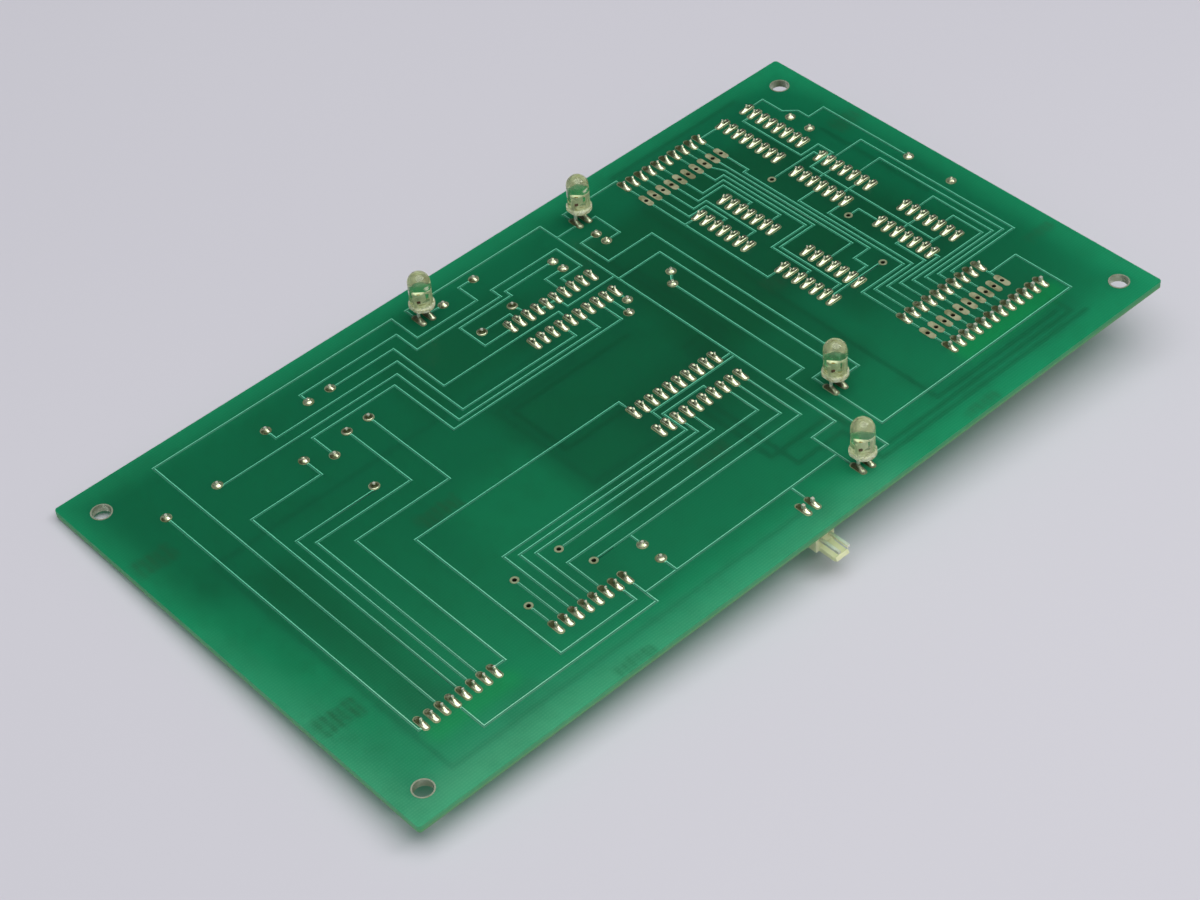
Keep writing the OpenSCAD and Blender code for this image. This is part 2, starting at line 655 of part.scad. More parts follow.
// A tent of solder over an oval pad, its length along Y, drawn up to the lead in its middle
module tent() {
    half_l = oval_l / 2 - 0.05;
    half_w = oval_w / 2 - 0.05;
    neck = 0.42;
    hem = 0.1;
    translate([0, 0, copper_t]) intersection() {
        linear_extrude(solder_h) oval(2 * half_l, 2 * half_w);
        rotate([90, 0, 90]) linear_extrude(4, center = true)
            polygon([[-half_l, 0], [-half_l, hem], [-1.3, 0.3], [-0.75, 0.6], [-neck, solder_h],
                     [neck, solder_h], [0.75, 0.6], [1.3, 0.3], [half_l, hem], [half_l, 0]]);
        rotate([90, 0, 0]) linear_extrude(6, center = true)
            polygon([[-half_w, 0], [-half_w, hem], [-neck, solder_h], [neck, solder_h],
                     [half_w, hem], [half_w, 0]]);
    }
}

// A hill of solder around a wire
module hill() {
    foot = round_pad_r - 0.05;
    translate([0, 0, copper_t]) rotate_extrude()
        polygon([[0, 0], [foot, 0], [foot - 0.05, 0.2], [foot - 0.4, 0.5], [0.45, hill_h],
                 [0, hill_h]]);
}

// The room that a lead takes in its solder
module lead_room(w, t) {
    translate([0, 0, 1]) cube([w, t, 4], center = true);
}

module chip_solder() {
    color("gainsboro") {
        each_place(driver_places) difference() {
            tent();
            lead_room(chip_pin_w, chip_pin_t);
        }
        each_place(upright_places) rotate(90) difference() {
            tent();
            lead_room(chip_pin_w, chip_pin_t);
        }
    }
}

module row_solder() {
    color("gainsboro") each_place(network_places) difference() {
        tent();
        lead_room(row_pin_w, row_pin_t);
    }
}

module header_solder() {
    color("gainsboro") each_place(header_places) difference() {
        tent();
        lead_room(post_w, post_w);
    }
}

module lamp_solder() {
    color("gainsboro") each_place(lamp_places) difference() {
        tent();
        lead_room(lamp_wire_w, lamp_wire_w);
    }
}

module wire_solder(places) {
    color("gainsboro") each_place(places) difference() {
        hill();
        cylinder(r = wire_r, h = 3);
    }
}

board_laminate();
plated_mounting_holes();
solder_side_tracks();
component_side_tracks();
chip_pads();
row_pads();
open_row_pads();
wire_pads();
through_hole_links();
place_driver(drivers[0]) chip_body(drivers[0][2]);  // driver_1_body
place_driver(drivers[0]) chip_pins(drivers[0][2]);  // driver_1_pins
place_driver(drivers[1]) chip_body(drivers[1][2]);  // driver_2_body
place_driver(drivers[1]) chip_pins(drivers[1][2]);  // driver_2_pins
place_upright(counter) chip_body(counter[2]);  // counter_body
place_upright(counter) chip_pins(counter[2]);  // counter_pins
place_upright(logic[0]) chip_body(logic[0][2]);  // logic_1_body
place_upright(logic[0]) chip_pins(logic[0][2]);  // logic_1_pins
place_upright(logic[1]) chip_body(logic[1][2]);  // logic_2_body
place_upright(logic[1]) chip_pins(logic[1][2]);  // logic_2_pins
place_upright(logic[2]) chip_body(logic[2][2]);  // logic_3_body
place_upright(logic[2]) chip_pins(logic[2][2]);  // logic_3_pins
place_upright(logic[3]) chip_body(logic[3][2]);  // logic_4_body
place_upright(logic[3]) chip_pins(logic[3][2]);  // logic_4_pins
place_row(networks[0]) network_body(networks[0][2]);  // network_1_body
place_row(networks[0]) network_pins(networks[0][2]);  // network_1_pins
place_row(networks[1]) network_body(networks[1][2]);  // network_2_body
place_row(networks[1]) network_pins(networks[1][2]);  // network_2_pins
place_row(networks[2]) network_body(networks[2][2]);  // network_3_body
place_row(networks[2]) network_pins(networks[2][2]);  // network_3_pins
place_row(networks[3]) network_body(networks[3][2]);  // network_4_body
place_row(networks[3]) network_pins(networks[3][2]);  // network_4_pins
plug_header_base();
plug_header_pins();
edge_header_base();
edge_header_pins();
each_resistor() resistor_body();  // resistor_bodies
each_resistor() resistor_wire_pair();  // resistor_wires
disc_capacitor();
disc_capacitor_wires();
bead_capacitor();
bead_capacitor_wires();
place_lamp(0) lamp_lens();  // lamp_1_lens
place_lamp(1) lamp_lens();  // lamp_2_lens
place_lamp(2) lamp_lens();  // lamp_3_lens
place_lamp(3) lamp_lens();  // lamp_4_lens
color("silver") place_lamp(0) lamp_leads();  // lamp_1_leads
color("silver") place_lamp(1) lamp_leads();  // lamp_2_leads
color("silver") place_lamp(2) lamp_leads();  // lamp_3_leads
color("silver") place_lamp(3) lamp_leads();  // lamp_4_leads
lamp_dies();
lamp_chips();
chip_solder();
row_solder();
header_solder();
wire_solder(resistor_places);  // resistor_solder
wire_solder(capacitor_places);  // capacitor_solder
lamp_solder();
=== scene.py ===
# %% [markdown]
# This notebook dresses a display circuit board: four clear lamps stand on its solder side, and
# every other part hangs below it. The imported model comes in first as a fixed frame, in metres.
# Each later step gives one part its real finish, or puts a better shaped piece in its place.

import math
import random

import bmesh
import bpy
from mathutils import Matrix, Quaternion, Vector


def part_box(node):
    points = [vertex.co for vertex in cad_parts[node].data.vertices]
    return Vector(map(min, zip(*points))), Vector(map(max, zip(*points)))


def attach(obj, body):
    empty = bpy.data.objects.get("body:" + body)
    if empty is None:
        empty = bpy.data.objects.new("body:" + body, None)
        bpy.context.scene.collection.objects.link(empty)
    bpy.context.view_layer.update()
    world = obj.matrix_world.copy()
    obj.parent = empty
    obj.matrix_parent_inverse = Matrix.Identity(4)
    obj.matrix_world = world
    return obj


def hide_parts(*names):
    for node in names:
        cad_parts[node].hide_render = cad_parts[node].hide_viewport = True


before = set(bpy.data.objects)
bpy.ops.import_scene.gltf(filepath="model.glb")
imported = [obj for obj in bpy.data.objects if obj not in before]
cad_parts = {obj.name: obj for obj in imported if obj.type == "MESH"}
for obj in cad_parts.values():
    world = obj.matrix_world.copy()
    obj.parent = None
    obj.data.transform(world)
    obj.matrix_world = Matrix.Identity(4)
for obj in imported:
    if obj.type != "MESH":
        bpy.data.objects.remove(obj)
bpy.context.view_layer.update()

# %% [markdown]
# The drawing of a board like this is made in inches, on a grid that starts in a corner. The part
# has its origin in the middle of the four mounting holes instead. One small function turns a grid
# place into a place in metres, so the rest of the notebook can talk in the drawing's own terms.

# %% Places on the board
MM = 0.001
INCH = 25.4 * MM
MID_U = 4.0
MID_V = 2.275
BOARD_LOW, BOARD_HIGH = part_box("board_laminate")
BOARD_THICK = BOARD_HIGH.z - BOARD_LOW.z


def grid_place(u, v, z=0.0):
    """A place of the drawing, u along the long edge and v across it, in inches."""
    return Vector(((u - MID_U) * INCH, (MID_V - v) * INCH, z))


print("board:", [round(value / MM, 2) for value in BOARD_HIGH - BOARD_LOW], "mm")

# %% [markdown]
# The camera stands where the photographer stood: in front of the long near edge, to the left of
# the middle, looking down at 44 degrees, with a long lens. A camera looks along its own -Z, so its
# turn comes from the direction to the aim point. The hand held camera also leaned a little to the
# side, which is a last turn about that direction.

# %% Camera
CAMERA_PLACE = Vector((-0.26926, -0.32605, 0.39077))
CAMERA_AIM = Vector((-0.01446, -0.00874, 0.0))
CAMERA_LEAN = math.radians(5.26)
LENS_MM = 84.58
SENSOR_MM = 36.0

camera = bpy.data.objects.new("camera", bpy.data.cameras.new("camera"))
bpy.context.scene.collection.objects.link(camera)
camera.data.lens = LENS_MM
camera.data.sensor_width = SENSOR_MM
camera.data.clip_start = 0.01
camera.location = CAMERA_PLACE
look = (CAMERA_AIM - CAMERA_PLACE).to_track_quat("-Z", "Y")
camera.rotation_mode = "QUATERNION"
camera.rotation_quaternion = look @ Quaternion((0, 0, 1), -CAMERA_LEAN)
bpy.context.scene.camera = camera
print("camera distance:", round((CAMERA_AIM - CAMERA_PLACE).length, 4), "m")

# %% [markdown]
# A colour is easiest to name as a screen shows it, from 0 to 255, but Blender's sockets want
# linear light. These few helpers do that sum, add a node, and join nodes, so that each finish
# below reads as a short recipe. A socket is fed either by another socket or by a plain value.

# %% Helpers for finishes
def rgb(red, green, blue):
    """A screen colour as the linear colour that a socket takes."""
    linear = []
    for value in (red, green, blue):
        share = value / 255
        linear.append(share / 12.92 if share <= 0.04045 else ((share + 0.055) / 1.055) ** 2.4)
    return (*linear, 1.0)


def feed(tree, socket, source):
    """Joins source to socket if it is a socket, and else sets it as the socket's value."""
    if isinstance(source, bpy.types.NodeSocket):
        tree.links.new(source, socket)
    else:
        socket.default_value = source


def add_node(tree, kind, **settings):
    node = tree.nodes.new("ShaderNode" + kind)
    for name, value in settings.items():
        setattr(node, name, value)
    return node


def sum_node(tree, operation, *sources, clamp=False):
    """A Math node's result."""
    node = add_node(tree, "Math", operation=operation, use_clamp=clamp)
    for socket, source in zip(node.inputs, sources):
        feed(tree, socket, source)
    return node.outputs[0]


def vector_node(tree, operation, *sources):
    """A Vector Math node's result: a number for a length or a dot product, and else a vector."""
    node = add_node(tree, "VectorMath", operation=operation)
    for socket, source in zip(node.inputs, sources):
        feed(tree, socket, source)
    return node.outputs["Value" if operation in ("LENGTH", "DOT_PRODUCT") else "Vector"]


def axis_of(tree, vector, name):
    """One coordinate of a vector."""
    split = add_node(tree, "SeparateXYZ")
    tree.links.new(vector, split.inputs[0])
    return split.outputs[name]


def smooth_range(tree, value, low, high, out_low=0.0, out_high=1.0):
    """Value eased from low to high, onto out_low to out_high."""
    node = add_node(tree, "MapRange", interpolation_type="SMOOTHSTEP")
    for name, source in (("Value", value), ("From Min", low), ("From Max", high),
                         ("To Min", out_low), ("To Max", out_high)):
        feed(tree, node.inputs[name], source)
    return node.outputs["Result"]


def mix_colour(tree, factor, first, second):
    """The first colour with a share of the second, from 0 to 1."""
    node = add_node(tree, "Mix", data_type="RGBA", clamp_factor=True)
    sockets = {socket.identifier: socket for socket in node.inputs}
    feed(tree, sockets["Factor_Float"], factor)
    feed(tree, sockets["A_Color"], first)
    feed(tree, sockets["B_Color"], second)
    return next(socket for socket in node.outputs if socket.identifier == "Result_Color")


def colour_ramp(tree, factor, stops):
    """Blends through stops, each of them a position and a screen colour."""
    node = add_node(tree, "ValToRGB")
    elements = node.color_ramp.elements
    while len(elements) < len(stops):
        elements.new(0.5)
    for element, (position, colour) in zip(elements, stops):
        element.position = position
        element.color = rgb(*colour)
    feed(tree, node.inputs["Fac"], factor)
    return node.outputs["Color"]


def noise(tree, vector, scale, detail=2.0, roughness=0.5):
    node = add_node(tree, "TexNoise")
    feed(tree, node.inputs["Vector"], vector)
    node.inputs["Scale"].default_value = scale
    node.inputs["Detail"].default_value = detail
    node.inputs["Roughness"].default_value = roughness
    return node.outputs["Fac"]


def bump(tree, shader, height, depth, strength=1.0, onto=None):
    """Lets height, from 0 to 1, raise the surface by depth metres in the light."""
    node = add_node(tree, "Bump")
    node.inputs["Strength"].default_value = strength
    node.inputs["Distance"].default_value = depth
    feed(tree, node.inputs["Height"], height)
    if onto is not None:
        tree.links.new(onto, node.inputs["Normal"])
    tree.links.new(node.outputs["Normal"], shader.inputs["Normal"])
    return node.outputs["Normal"]


def show_both(tree, share, first, second):
    """Gives the surface the first shader with a share of the second."""
    both = add_node(tree, "MixShader")
    feed(tree, both.inputs[0], share)
    tree.links.new(first.outputs[0], both.inputs[1])
    tree.links.new(second.outputs[0], both.inputs[2])
    tree.links.new(both.outputs[0], tree.nodes["Material Output"].inputs["Surface"])


def new_finish(name, **values):
    """A material with its tree, its shader and its object coordinates."""
    material = bpy.data.materials.new(name)
    material.use_nodes = True
    tree = material.node_tree
    shader = tree.nodes["Principled BSDF"]
    for socket, value in values.items():
        shader.inputs[socket.replace("_", " ")].default_value = value
    place = add_node(tree, "TexCoord").outputs["Object"]
    return material, tree, shader, place


print("helpers ready")

# %% [markdown]
# The board lies on its own parts, so it leans: the plug header's pins and a capacitor hold up the
# near right side, and a resistor holds up the left. The floor is drawn at that lean, moved up
# along its normal until the lowest corner of any part touches it. Its back is clear, so a camera
# below the floor still sees the board. Stage pieces aren't part of the object.

# %% Floor
FLOOR_LEAN = Vector((0.04754, -0.04252, 1.0)).normalized()
FLOOR_SIZE = 3.0

floor_height = min(FLOOR_LEAN.dot(vertex.co)
                   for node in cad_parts.values() for vertex in node.data.vertices)


def floor_finish():
    material, tree, shader, place = new_finish("pale_floor", Roughness=0.75)
    shader.inputs["Specular IOR Level"].default_value = 0.2
    colour = mix_colour(tree, noise(tree, place, 2.5), rgb(196, 194, 201), rgb(206, 204, 209))
    feed(tree, shader.inputs["Base Color"], colour)
    is_back = add_node(tree, "NewGeometry").outputs["Backfacing"]
    show_both(tree, is_back, shader, add_node(tree, "BsdfTransparent"))
    return material


def lay_floor():
    skin = bmesh.new()
    bmesh.ops.create_grid(skin, x_segments=1, y_segments=1, size=FLOOR_SIZE)
    turn = Vector((0, 0, 1)).rotation_difference(FLOOR_LEAN)
    bmesh.ops.transform(skin, matrix=turn.to_matrix().to_4x4(), verts=skin.verts)
    bmesh.ops.translate(skin, vec=FLOOR_LEAN * floor_height, verts=skin.verts)
    mesh = bpy.data.meshes.new("floor")
    skin.to_mesh(mesh)
    skin.free()
    mesh.materials.append(floor_finish())
    floor = bpy.data.objects.new("floor", mesh)
    bpy.context.scene.collection.objects.link(floor)


lay_floor()
print("floor height under the origin:", round(floor_height / MM, 2), "mm")

# %% [markdown]
# Bright metal shows what is around it, so the light matters as much as the solder's own finish. A
# very wide soft panel hangs above, a small one stands at the right of the camera, and a dim sky
# gives the rest. The sky is darkest behind the board, where the varnish would mirror it, so the
# green stays deep. Together they light a white card to about white, so a colour shows as written.
# The sky's stops run from the horizon upwards.

# %% Light
SKY_STOPS = ((0.0, (196, 195, 201)), (0.10, (190, 190, 196)), (0.32, (146, 148, 154)),
             (0.60, (150, 152, 158)), (0.85, (190, 192, 198)))
SKY_BEHIND = (0.62, 0.78, 0.0)
DARK_SKY = (52, 54, 58)
TURNED_AWAY = (0.15, 0.55)
RAISED = (0.12, 0.40)
PANELS = {
    "overhead": {"place": (0.0, -0.20, 1.10), "size": 1.45, "watts": 11.5},
    "key": {"place": (0.60, -0.50, 0.85), "size": 0.40, "watts": 1.6},
}


def make_sky():
    sky = bpy.data.worlds.new("sky")
    bpy.context.scene.world = sky
    sky.use_nodes = True
    tree = sky.node_tree
    direction = add_node(tree, "TexCoord").outputs["Generated"]
    height = axis_of(tree, direction, "Z")
    behind = vector_node(tree, "DOT_PRODUCT", direction, SKY_BEHIND)
    shade = sum_node(tree, "MULTIPLY", smooth_range(tree, behind, *TURNED_AWAY),
                     smooth_range(tree, height, *RAISED))
    colour = mix_colour(tree, shade, colour_ramp(tree, height, SKY_STOPS), rgb(*DARK_SKY))
    feed(tree, tree.nodes["Background"].inputs["Color"], colour)


def hang_panel(name, place, size, watts):
    lamp = bpy.data.lights.new(name, "AREA")
    lamp.shape = "DISK"
    lamp.size = size
    lamp.energy = watts
    panel = bpy.data.objects.new(name, lamp)
    bpy.context.scene.collection.objects.link(panel)
    panel.location = place
    panel.rotation_euler = (-Vector(place)).to_track_quat("-Z", "Y").to_euler()
    panel.visible_camera = False


make_sky()
for name, values in PANELS.items():
    hang_panel(name, **values)
bpy.context.scene.view_settings.view_transform = "Standard"
print("panels:", ", ".join(PANELS))

# %% [markdown]
# The laminate is woven glass in resin, and the green on it is solder mask, a thin see-through
# varnish. Light from the table comes up through the bare rim, so the green is painted lighter
# there, and copper on the far face dims it in long soft bands of painted shade. Painting those by
# hand would need a picture. Here each band is a box, and the distance to the nearest box says how
# dark the green is.

# %% Node groups for soft boxes and the pale rim
def new_group(name, inputs, output):
    group = bpy.data.node_groups.new(name, "ShaderNodeTree")
    for title, kind in inputs:
        group.interface.new_socket(title, in_out="INPUT", socket_type=kind)
    group.interface.new_socket(output, in_out="OUTPUT", socket_type="NodeSocketFloat")
    return group, group.nodes.new("NodeGroupInput"), group.nodes.new("NodeGroupOutput")


def box_distance_group():
    """How far a point of the board is from a flat box, in metres."""
    group, given, result = new_group(
        "box_distance",
        [(title, "NodeSocketVector") for title in ("Point", "Middle", "Half")],
        "Distance")
    offset = vector_node(group, "SUBTRACT", given.outputs["Point"], given.outputs["Middle"])
    outside = vector_node(group, "SUBTRACT", vector_node(group, "ABSOLUTE", offset),
                          given.outputs["Half"])
    kept = vector_node(group, "MAXIMUM", outside, (0.0, 0.0, 0.0))
    group.links.new(vector_node(group, "LENGTH", kept), result.inputs["Distance"])
    return group


RIM_W = 9 * MM
RIM_LIGHT = 0.30
NEAR_RIM_W = 13 * MM
NEAR_RIM_LIGHT = (0.60, 0.20)
NEAR_RIM_TURN_U = (4.7, 5.25)
LEFT_RIM_LOSS = 0.16
LEFT_NEAR_LIGHT = 0.42
NEAR_LIGHT = 0.22
RIGHT_LOSS = 0.10


def pale_rim_group():
    """How much painted light comes through the laminate, from 0 in the crowded middle to 1."""
    group, given, result = new_group("pale_rim", (("Point", "NodeSocketVector"),), "Light")
    x, y = [axis_of(group, given.outputs["Point"], name) for name in "XY"]
    side_gap = sum_node(group, "SUBTRACT", BOARD_HIGH.x, sum_node(group, "ABSOLUTE", x))
    far_gap = sum_node(group, "SUBTRACT", BOARD_HIGH.y, y)
    near_gap = sum_node(group, "SUBTRACT", y, BOARD_LOW.y)
    rim = smooth_range(group, sum_node(group, "MINIMUM", side_gap, far_gap), 0.0, RIM_W,
                       RIM_LIGHT, 0.0)
    near_rim = smooth_range(group, near_gap, 0.0, NEAR_RIM_W, 1.0, 0.0)
    leftward = smooth_range(group, x, BOARD_LOW.x, BOARD_LOW.x / 4, 1.0, 0.0)
    nearward = smooth_range(group, y, BOARD_LOW.y, BOARD_HIGH.y / 3, 1.0, 0.0)
    rightward = smooth_range(group, x, 0.4 * BOARD_HIGH.x, 0.9 * BOARD_HIGH.x)
    near_turn = [grid_place(u, 0).x for u in NEAR_RIM_TURN_U]
    near_light = smooth_range(group, x, *near_turn, *NEAR_RIM_LIGHT)
    near_light = sum_node(group, "MULTIPLY_ADD", leftward, -LEFT_RIM_LOSS, near_light)
    light = sum_node(group, "MAXIMUM", rim, sum_node(group, "MULTIPLY", near_rim, near_light))
    for place, gain in ((sum_node(group, "MULTIPLY", leftward, nearward), LEFT_NEAR_LIGHT),
                        (sum_node(group, "MULTIPLY", nearward, nearward), NEAR_LIGHT),
                        (rightward, -RIGHT_LOSS)):
        light = sum_node(group, "MULTIPLY_ADD", place, gain, light)
    group.links.new(light, result.inputs["Light"])
    return group


box_distance = box_distance_group()
pale_rim = pale_rim_group()


def group_result(tree, group, **sources):
    node = add_node(tree, "Group", node_tree=group)
    for name, source in sources.items():
        feed(tree, node.inputs[name], source)
    return node.outputs[0]


def distance_to_boxes(tree, point, boxes):
    """The distance from point to the nearest of boxes, each given as two corners (u, v, u, v)."""
    nearest = None
    for u1, v1, u2, v2 in boxes:
        first, last = grid_place(u1, v1), grid_place(u2, v2)
        middle = (first + last) / 2
        half = Vector((abs(first.x - last.x) / 2, abs(first.y - last.y) / 2, 1.0))
        gap = group_result(tree, box_distance, Point=point, Middle=middle, Half=half)
        nearest = gap if nearest is None else sum_node(tree, "MINIMUM", nearest, gap)
    return nearest


print("groups:", box_distance.name, pale_rim.name)

# %% [markdown]
# The far face's copper runs between chips and headers. These are the stretches of it whose painted
# shade shows through the green, as chains of grid places, and the boxes where the chips and other
# parts cast painted shade, where the bare board lets more painted light through, and where a
# painted glow lies beside the white headers.
# The stamped marks of the laminate are boxes too, and stay plain smudges here.

# %% What shows through the laminate
FAINT_ROUTES = (((3.905, 1.42), (0.52, 1.42), (0.52, 4.25), (4.065, 4.25)),
                ((4.005, 1.70), (3.15, 1.70), (3.15, 2.86), (3.905, 2.86)))
FAR_ROUTES = (
    ((4.505, 1.78), (3.25, 1.78), (3.25, 2.42), (4.005, 2.42)),
    ((4.705, 1.15), (5.11, 1.15), (5.11, 2.35)),
    ((5.03, 1.0), (5.03, 2.22), (4.705, 2.22)),
    ((7.205, 3.79), (7.205, 4.20), (4.98, 4.20), (4.98, 3.65), (4.305, 3.65), (4.305, 2.80)),
    ((7.305, 4.28), (4.90, 4.28), (4.90, 3.85), (4.405, 3.85), (4.405, 2.80)),
    ((7.105, 4.12), (5.70, 4.12), (5.70, 0.70)),
    ((7.56, 1.02), (7.56, 2.285)),
    ((5.805, 0.17), (7.30, 0.17)),
)
SHADED_FIELDS = ((3.2, 1.65, 5.6, 3.25), (6.1, 2.1, 7.3, 2.9), (0.72, 1.9, 0.86, 3.7),
                 (2.9, 0.70, 4.0, 1.20))
CHIP_FIELDS = ((5.0, 0.80, 7.1, 2.25), (4.9, 2.0, 5.5, 2.4))
FAINT_FIELDS = ((3.9, 0.9, 4.8, 1.4), (3.9, 2.4, 4.8, 2.9), (6.0, 0.45, 6.6, 0.9),
                (6.6, 2.7, 7.5, 4.0))
STAMP_MARKS = ((0.06, 0.96, 0.38, 1.12), (0.06, 3.22, 0.40, 3.38), (1.92, 2.16, 2.28, 2.28),
               (1.95, 4.41, 2.28, 4.47), (3.85, 3.25, 4.15, 3.35), (5.72, 4.41, 6.05, 4.46),
               (5.72, 2.12, 5.86, 2.26), (7.66, 1.02, 7.92, 1.16), (7.66, 3.32, 7.92, 3.38))
PALE_FIELDS = ((2.35, 2.4, 2.85, 2.95), (0.0, 2.0, 0.3, 3.1), (7.8, 0.0, 8.0, 0.25))
GLOWS = ((6.25, 3.90, 7.30, 3.94), (0.66, 3.90, 1.34, 3.92))


def route_boxes(routes):
    return [(*start, *end) for route in routes for start, end in zip(route, route[1:])]


print("bands:", len(route_boxes(FAR_ROUTES + FAINT_ROUTES)), "marks:", len(STAMP_MARKS))

# %% [markdown]
# The mask's colour is mixed in layers. First come a deep to a pale green, painted by how much light
# comes through, and slow clouds. Then each part on the far face adds its own layer of painted
# shade, soft at its rim because it is seen through 1.6 mm of laminate. The stamps are ragged boxes
# that a wave breaks into worn strokes. The cut edge has no mask, so the resin's yellow brown shows
# towards its bottom.

# %% Colours of the laminate
MASK_STOPS = ((0.0, (16, 107, 74)), (0.36, (23, 137, 94)), (0.70, (50, 150, 110)),
              (1.0, (80, 165, 126)))
CLOUD_SHARE = 0.30
PALE_EDGE = 12 * MM
PALE_LIGHT = 0.18
SHADED_GREEN = (14, 76, 48)
PATCH_SHARE = 0.28
ROUTE_LAYERS = ((FAR_ROUTES, 0.42), (FAINT_ROUTES, 0.20))
ROUTE_EDGE = (0.1 * MM, 1.1 * MM)
FIELD_LAYERS = ((SHADED_FIELDS, 0.42), (CHIP_FIELDS, 0.60), (FAINT_FIELDS, 0.26))
FIELD_EDGE = 8 * MM
GLOW_GREEN = (14, 170, 84)
GLOW_EDGE = 4 * MM
GLOW_SHARE = 0.40
MARK_GREEN = (36, 80, 56)
MARK_EDGE = (0.6 * MM, 2.8 * MM)
MARK_RAGGED = 2.6 * MM
STROKE_STEP = 1.7 * MM
EDGE_BROWN = (138, 146, 100)
WAVE_TURN = 2 * math.pi / 20


def green_of_mask(tree, place):
    """The varnish's colour anywhere on the board, before anything lies under it."""
    light = group_result(tree, pale_rim, Point=place)
    cloud = sum_node(tree, "SUBTRACT", noise(tree, place, 38.0, 7.0, 0.75), 0.5)
    light = sum_node(tree, "MULTIPLY_ADD", cloud, CLOUD_SHARE, light)
    gap = distance_to_boxes(tree, place, PALE_FIELDS)
    pale = smooth_range(tree, gap, 0.0, PALE_EDGE, PALE_LIGHT, 0.0)
    return colour_ramp(tree, sum_node(tree, "ADD", light, pale), MASK_STOPS)


def dimmed_green(tree, place, green):
    """The green with dim patches and the shade of copper, chips and other parts."""
    patches = noise(tree, place, 75.0, 7.0, 0.75)
    layers = [smooth_range(tree, patches, 0.42, 0.68, 0.0, PATCH_SHARE)]
    for routes, strength in ROUTE_LAYERS:
        gap = distance_to_boxes(tree, place, route_boxes(routes))
        layers.append(smooth_range(tree, gap, *ROUTE_EDGE, strength, 0.0))
    for boxes, strength in FIELD_LAYERS:
        gap = distance_to_boxes(tree, place, boxes)
        layers.append(smooth_range(tree, gap, 0.0, FIELD_EDGE, strength, 0.0))
    for layer in layers:
        green = mix_colour(tree, layer, green, rgb(*SHADED_GREEN))
    return green


# Painted light: a glow of the green beside the white headers.
def glowing_green(tree, place, green):
    gap = distance_to_boxes(tree, place, GLOWS)
    glow = smooth_range(tree, gap, 0.0, GLOW_EDGE, GLOW_SHARE, 0.0)
    return mix_colour(tree, glow, green, rgb(*GLOW_GREEN))


def stripes(tree, place, direction, step, distortion, detail=2.0, detail_scale=1.0):
    """A wave from 0 to 1 and back in each step, wavering by distortion."""
    node = add_node(tree, "TexWave", wave_type="BANDS", bands_direction=direction)
    feed(tree, node.inputs["Vector"], place)
    for name, value in (("Scale", WAVE_TURN / step), ("Distortion", distortion),
                        ("Detail", detail), ("Detail Scale", detail_scale)):
        node.inputs[name].default_value = value
    return node.outputs["Fac"]


def stamped_green(tree, place, green):
    ragged = sum_node(tree, "MULTIPLY_ADD", noise(tree, place, 420.0), MARK_RAGGED,
                      distance_to_boxes(tree, place, STAMP_MARKS))
    worn = sum_node(tree, "MULTIPLY_ADD", stripes(tree, place, "X", STROKE_STEP, 1.2), 0.32, 0.40)
    mark = smooth_range(tree, ragged, *MARK_EDGE, worn, 0.0)
    return mix_colour(tree, mark, green, rgb(*MARK_GREEN))


def cut_edge_colour(tree, place, green):
    fibres = sum_node(tree, "MULTIPLY_ADD", noise(tree, place, 2500.0, 3.0), 0.5 * MM,
                      axis_of(tree, place, "Z"))
    brown = smooth_range(tree, fibres, -1.0 * MM, -0.5 * MM, 0.85, 0.25)
    return mix_colour(tree, brown, green, rgb(*EDGE_BROWN))


print("dim layers:", 1 + len(ROUTE_LAYERS) + len(FIELD_LAYERS))

# %% [markdown]
# The varnish has a soft gloss and a slight orange peel, and the glass weave lies under it as a
# second, finer bump. Light that comes up from the table goes through the laminate, so a good part
# of the surface lets light through instead of sending it back. That part isn't painted green by
# the layers, and the greens above are written lighter than the board looks to make up for it. The
# surface's own direction tells the two faces from the cut edge.

# %% Laminate finish
WEAVE_STEP = 0.62 * MM
THREAD_GREEN = (118, 205, 165)
THREAD_SHARE = 0.28
THROUGH_GREEN = (62, 238, 192)
THROUGH_SHARE = 0.42


def new_varnish(name):
    """A finish with the gloss of solder mask, and its peel as the last result."""
    material, tree, shader, place = new_finish(name, Roughness=0.34)
    shader.inputs["Specular IOR Level"].default_value = 0.25
    shader.inputs["Coat Weight"].default_value = 0.15
    shader.inputs["Coat Roughness"].default_value = 0.12
    peel = bump(tree, shader, noise(tree, place, 260.0), 0.02 * MM, 0.4)
    return material, tree, shader, place, peel


def woven_height(tree, place):
    """Height of the glass weave under the varnish: rows along the long edge, broken by the rest."""
    rows = stripes(tree, place, "Y", WEAVE_STEP, 3.2, 1.0, 0.8)
    columns = stripes(tree, place, "X", WEAVE_STEP, 3.8, 1.0, 0.8)
    return sum_node(tree, "MULTIPLY", rows, sum_node(tree, "MULTIPLY_ADD", columns, 0.65, 0.35))


def laminate_finish():
    material, tree, shader, place, peel = new_varnish("masked_laminate")
    green = dimmed_green(tree, place, green_of_mask(tree, place))
    green = stamped_green(tree, place, glowing_green(tree, place, green))
    light = group_result(tree, pale_rim, Point=place)
    weave = sum_node(tree, "MULTIPLY", woven_height(tree, place),
                     sum_node(tree, "MULTIPLY_ADD", light, 0.9, 0.1))
    shown = sum_node(tree, "MULTIPLY", weave, THREAD_SHARE)
    green = mix_colour(tree, shown, green, rgb(*THREAD_GREEN))
    upward = axis_of(tree, add_node(tree, "NewGeometry").outputs["Normal"], "Z")
    is_face = sum_node(tree, "GREATER_THAN", sum_node(tree, "ABSOLUTE", upward), 0.5)
    colour = mix_colour(tree, is_face, cut_edge_colour(tree, place, green), green)
    feed(tree, shader.inputs["Base Color"], colour)
    bump(tree, shader, weave, 0.008 * MM, 0.5, onto=peel)
    through = add_node(tree, "BsdfTranslucent")
    through.inputs["Color"].default_value = rgb(*THROUGH_GREEN)
    show_both(tree, THROUGH_SHARE, shader, through)
    return material


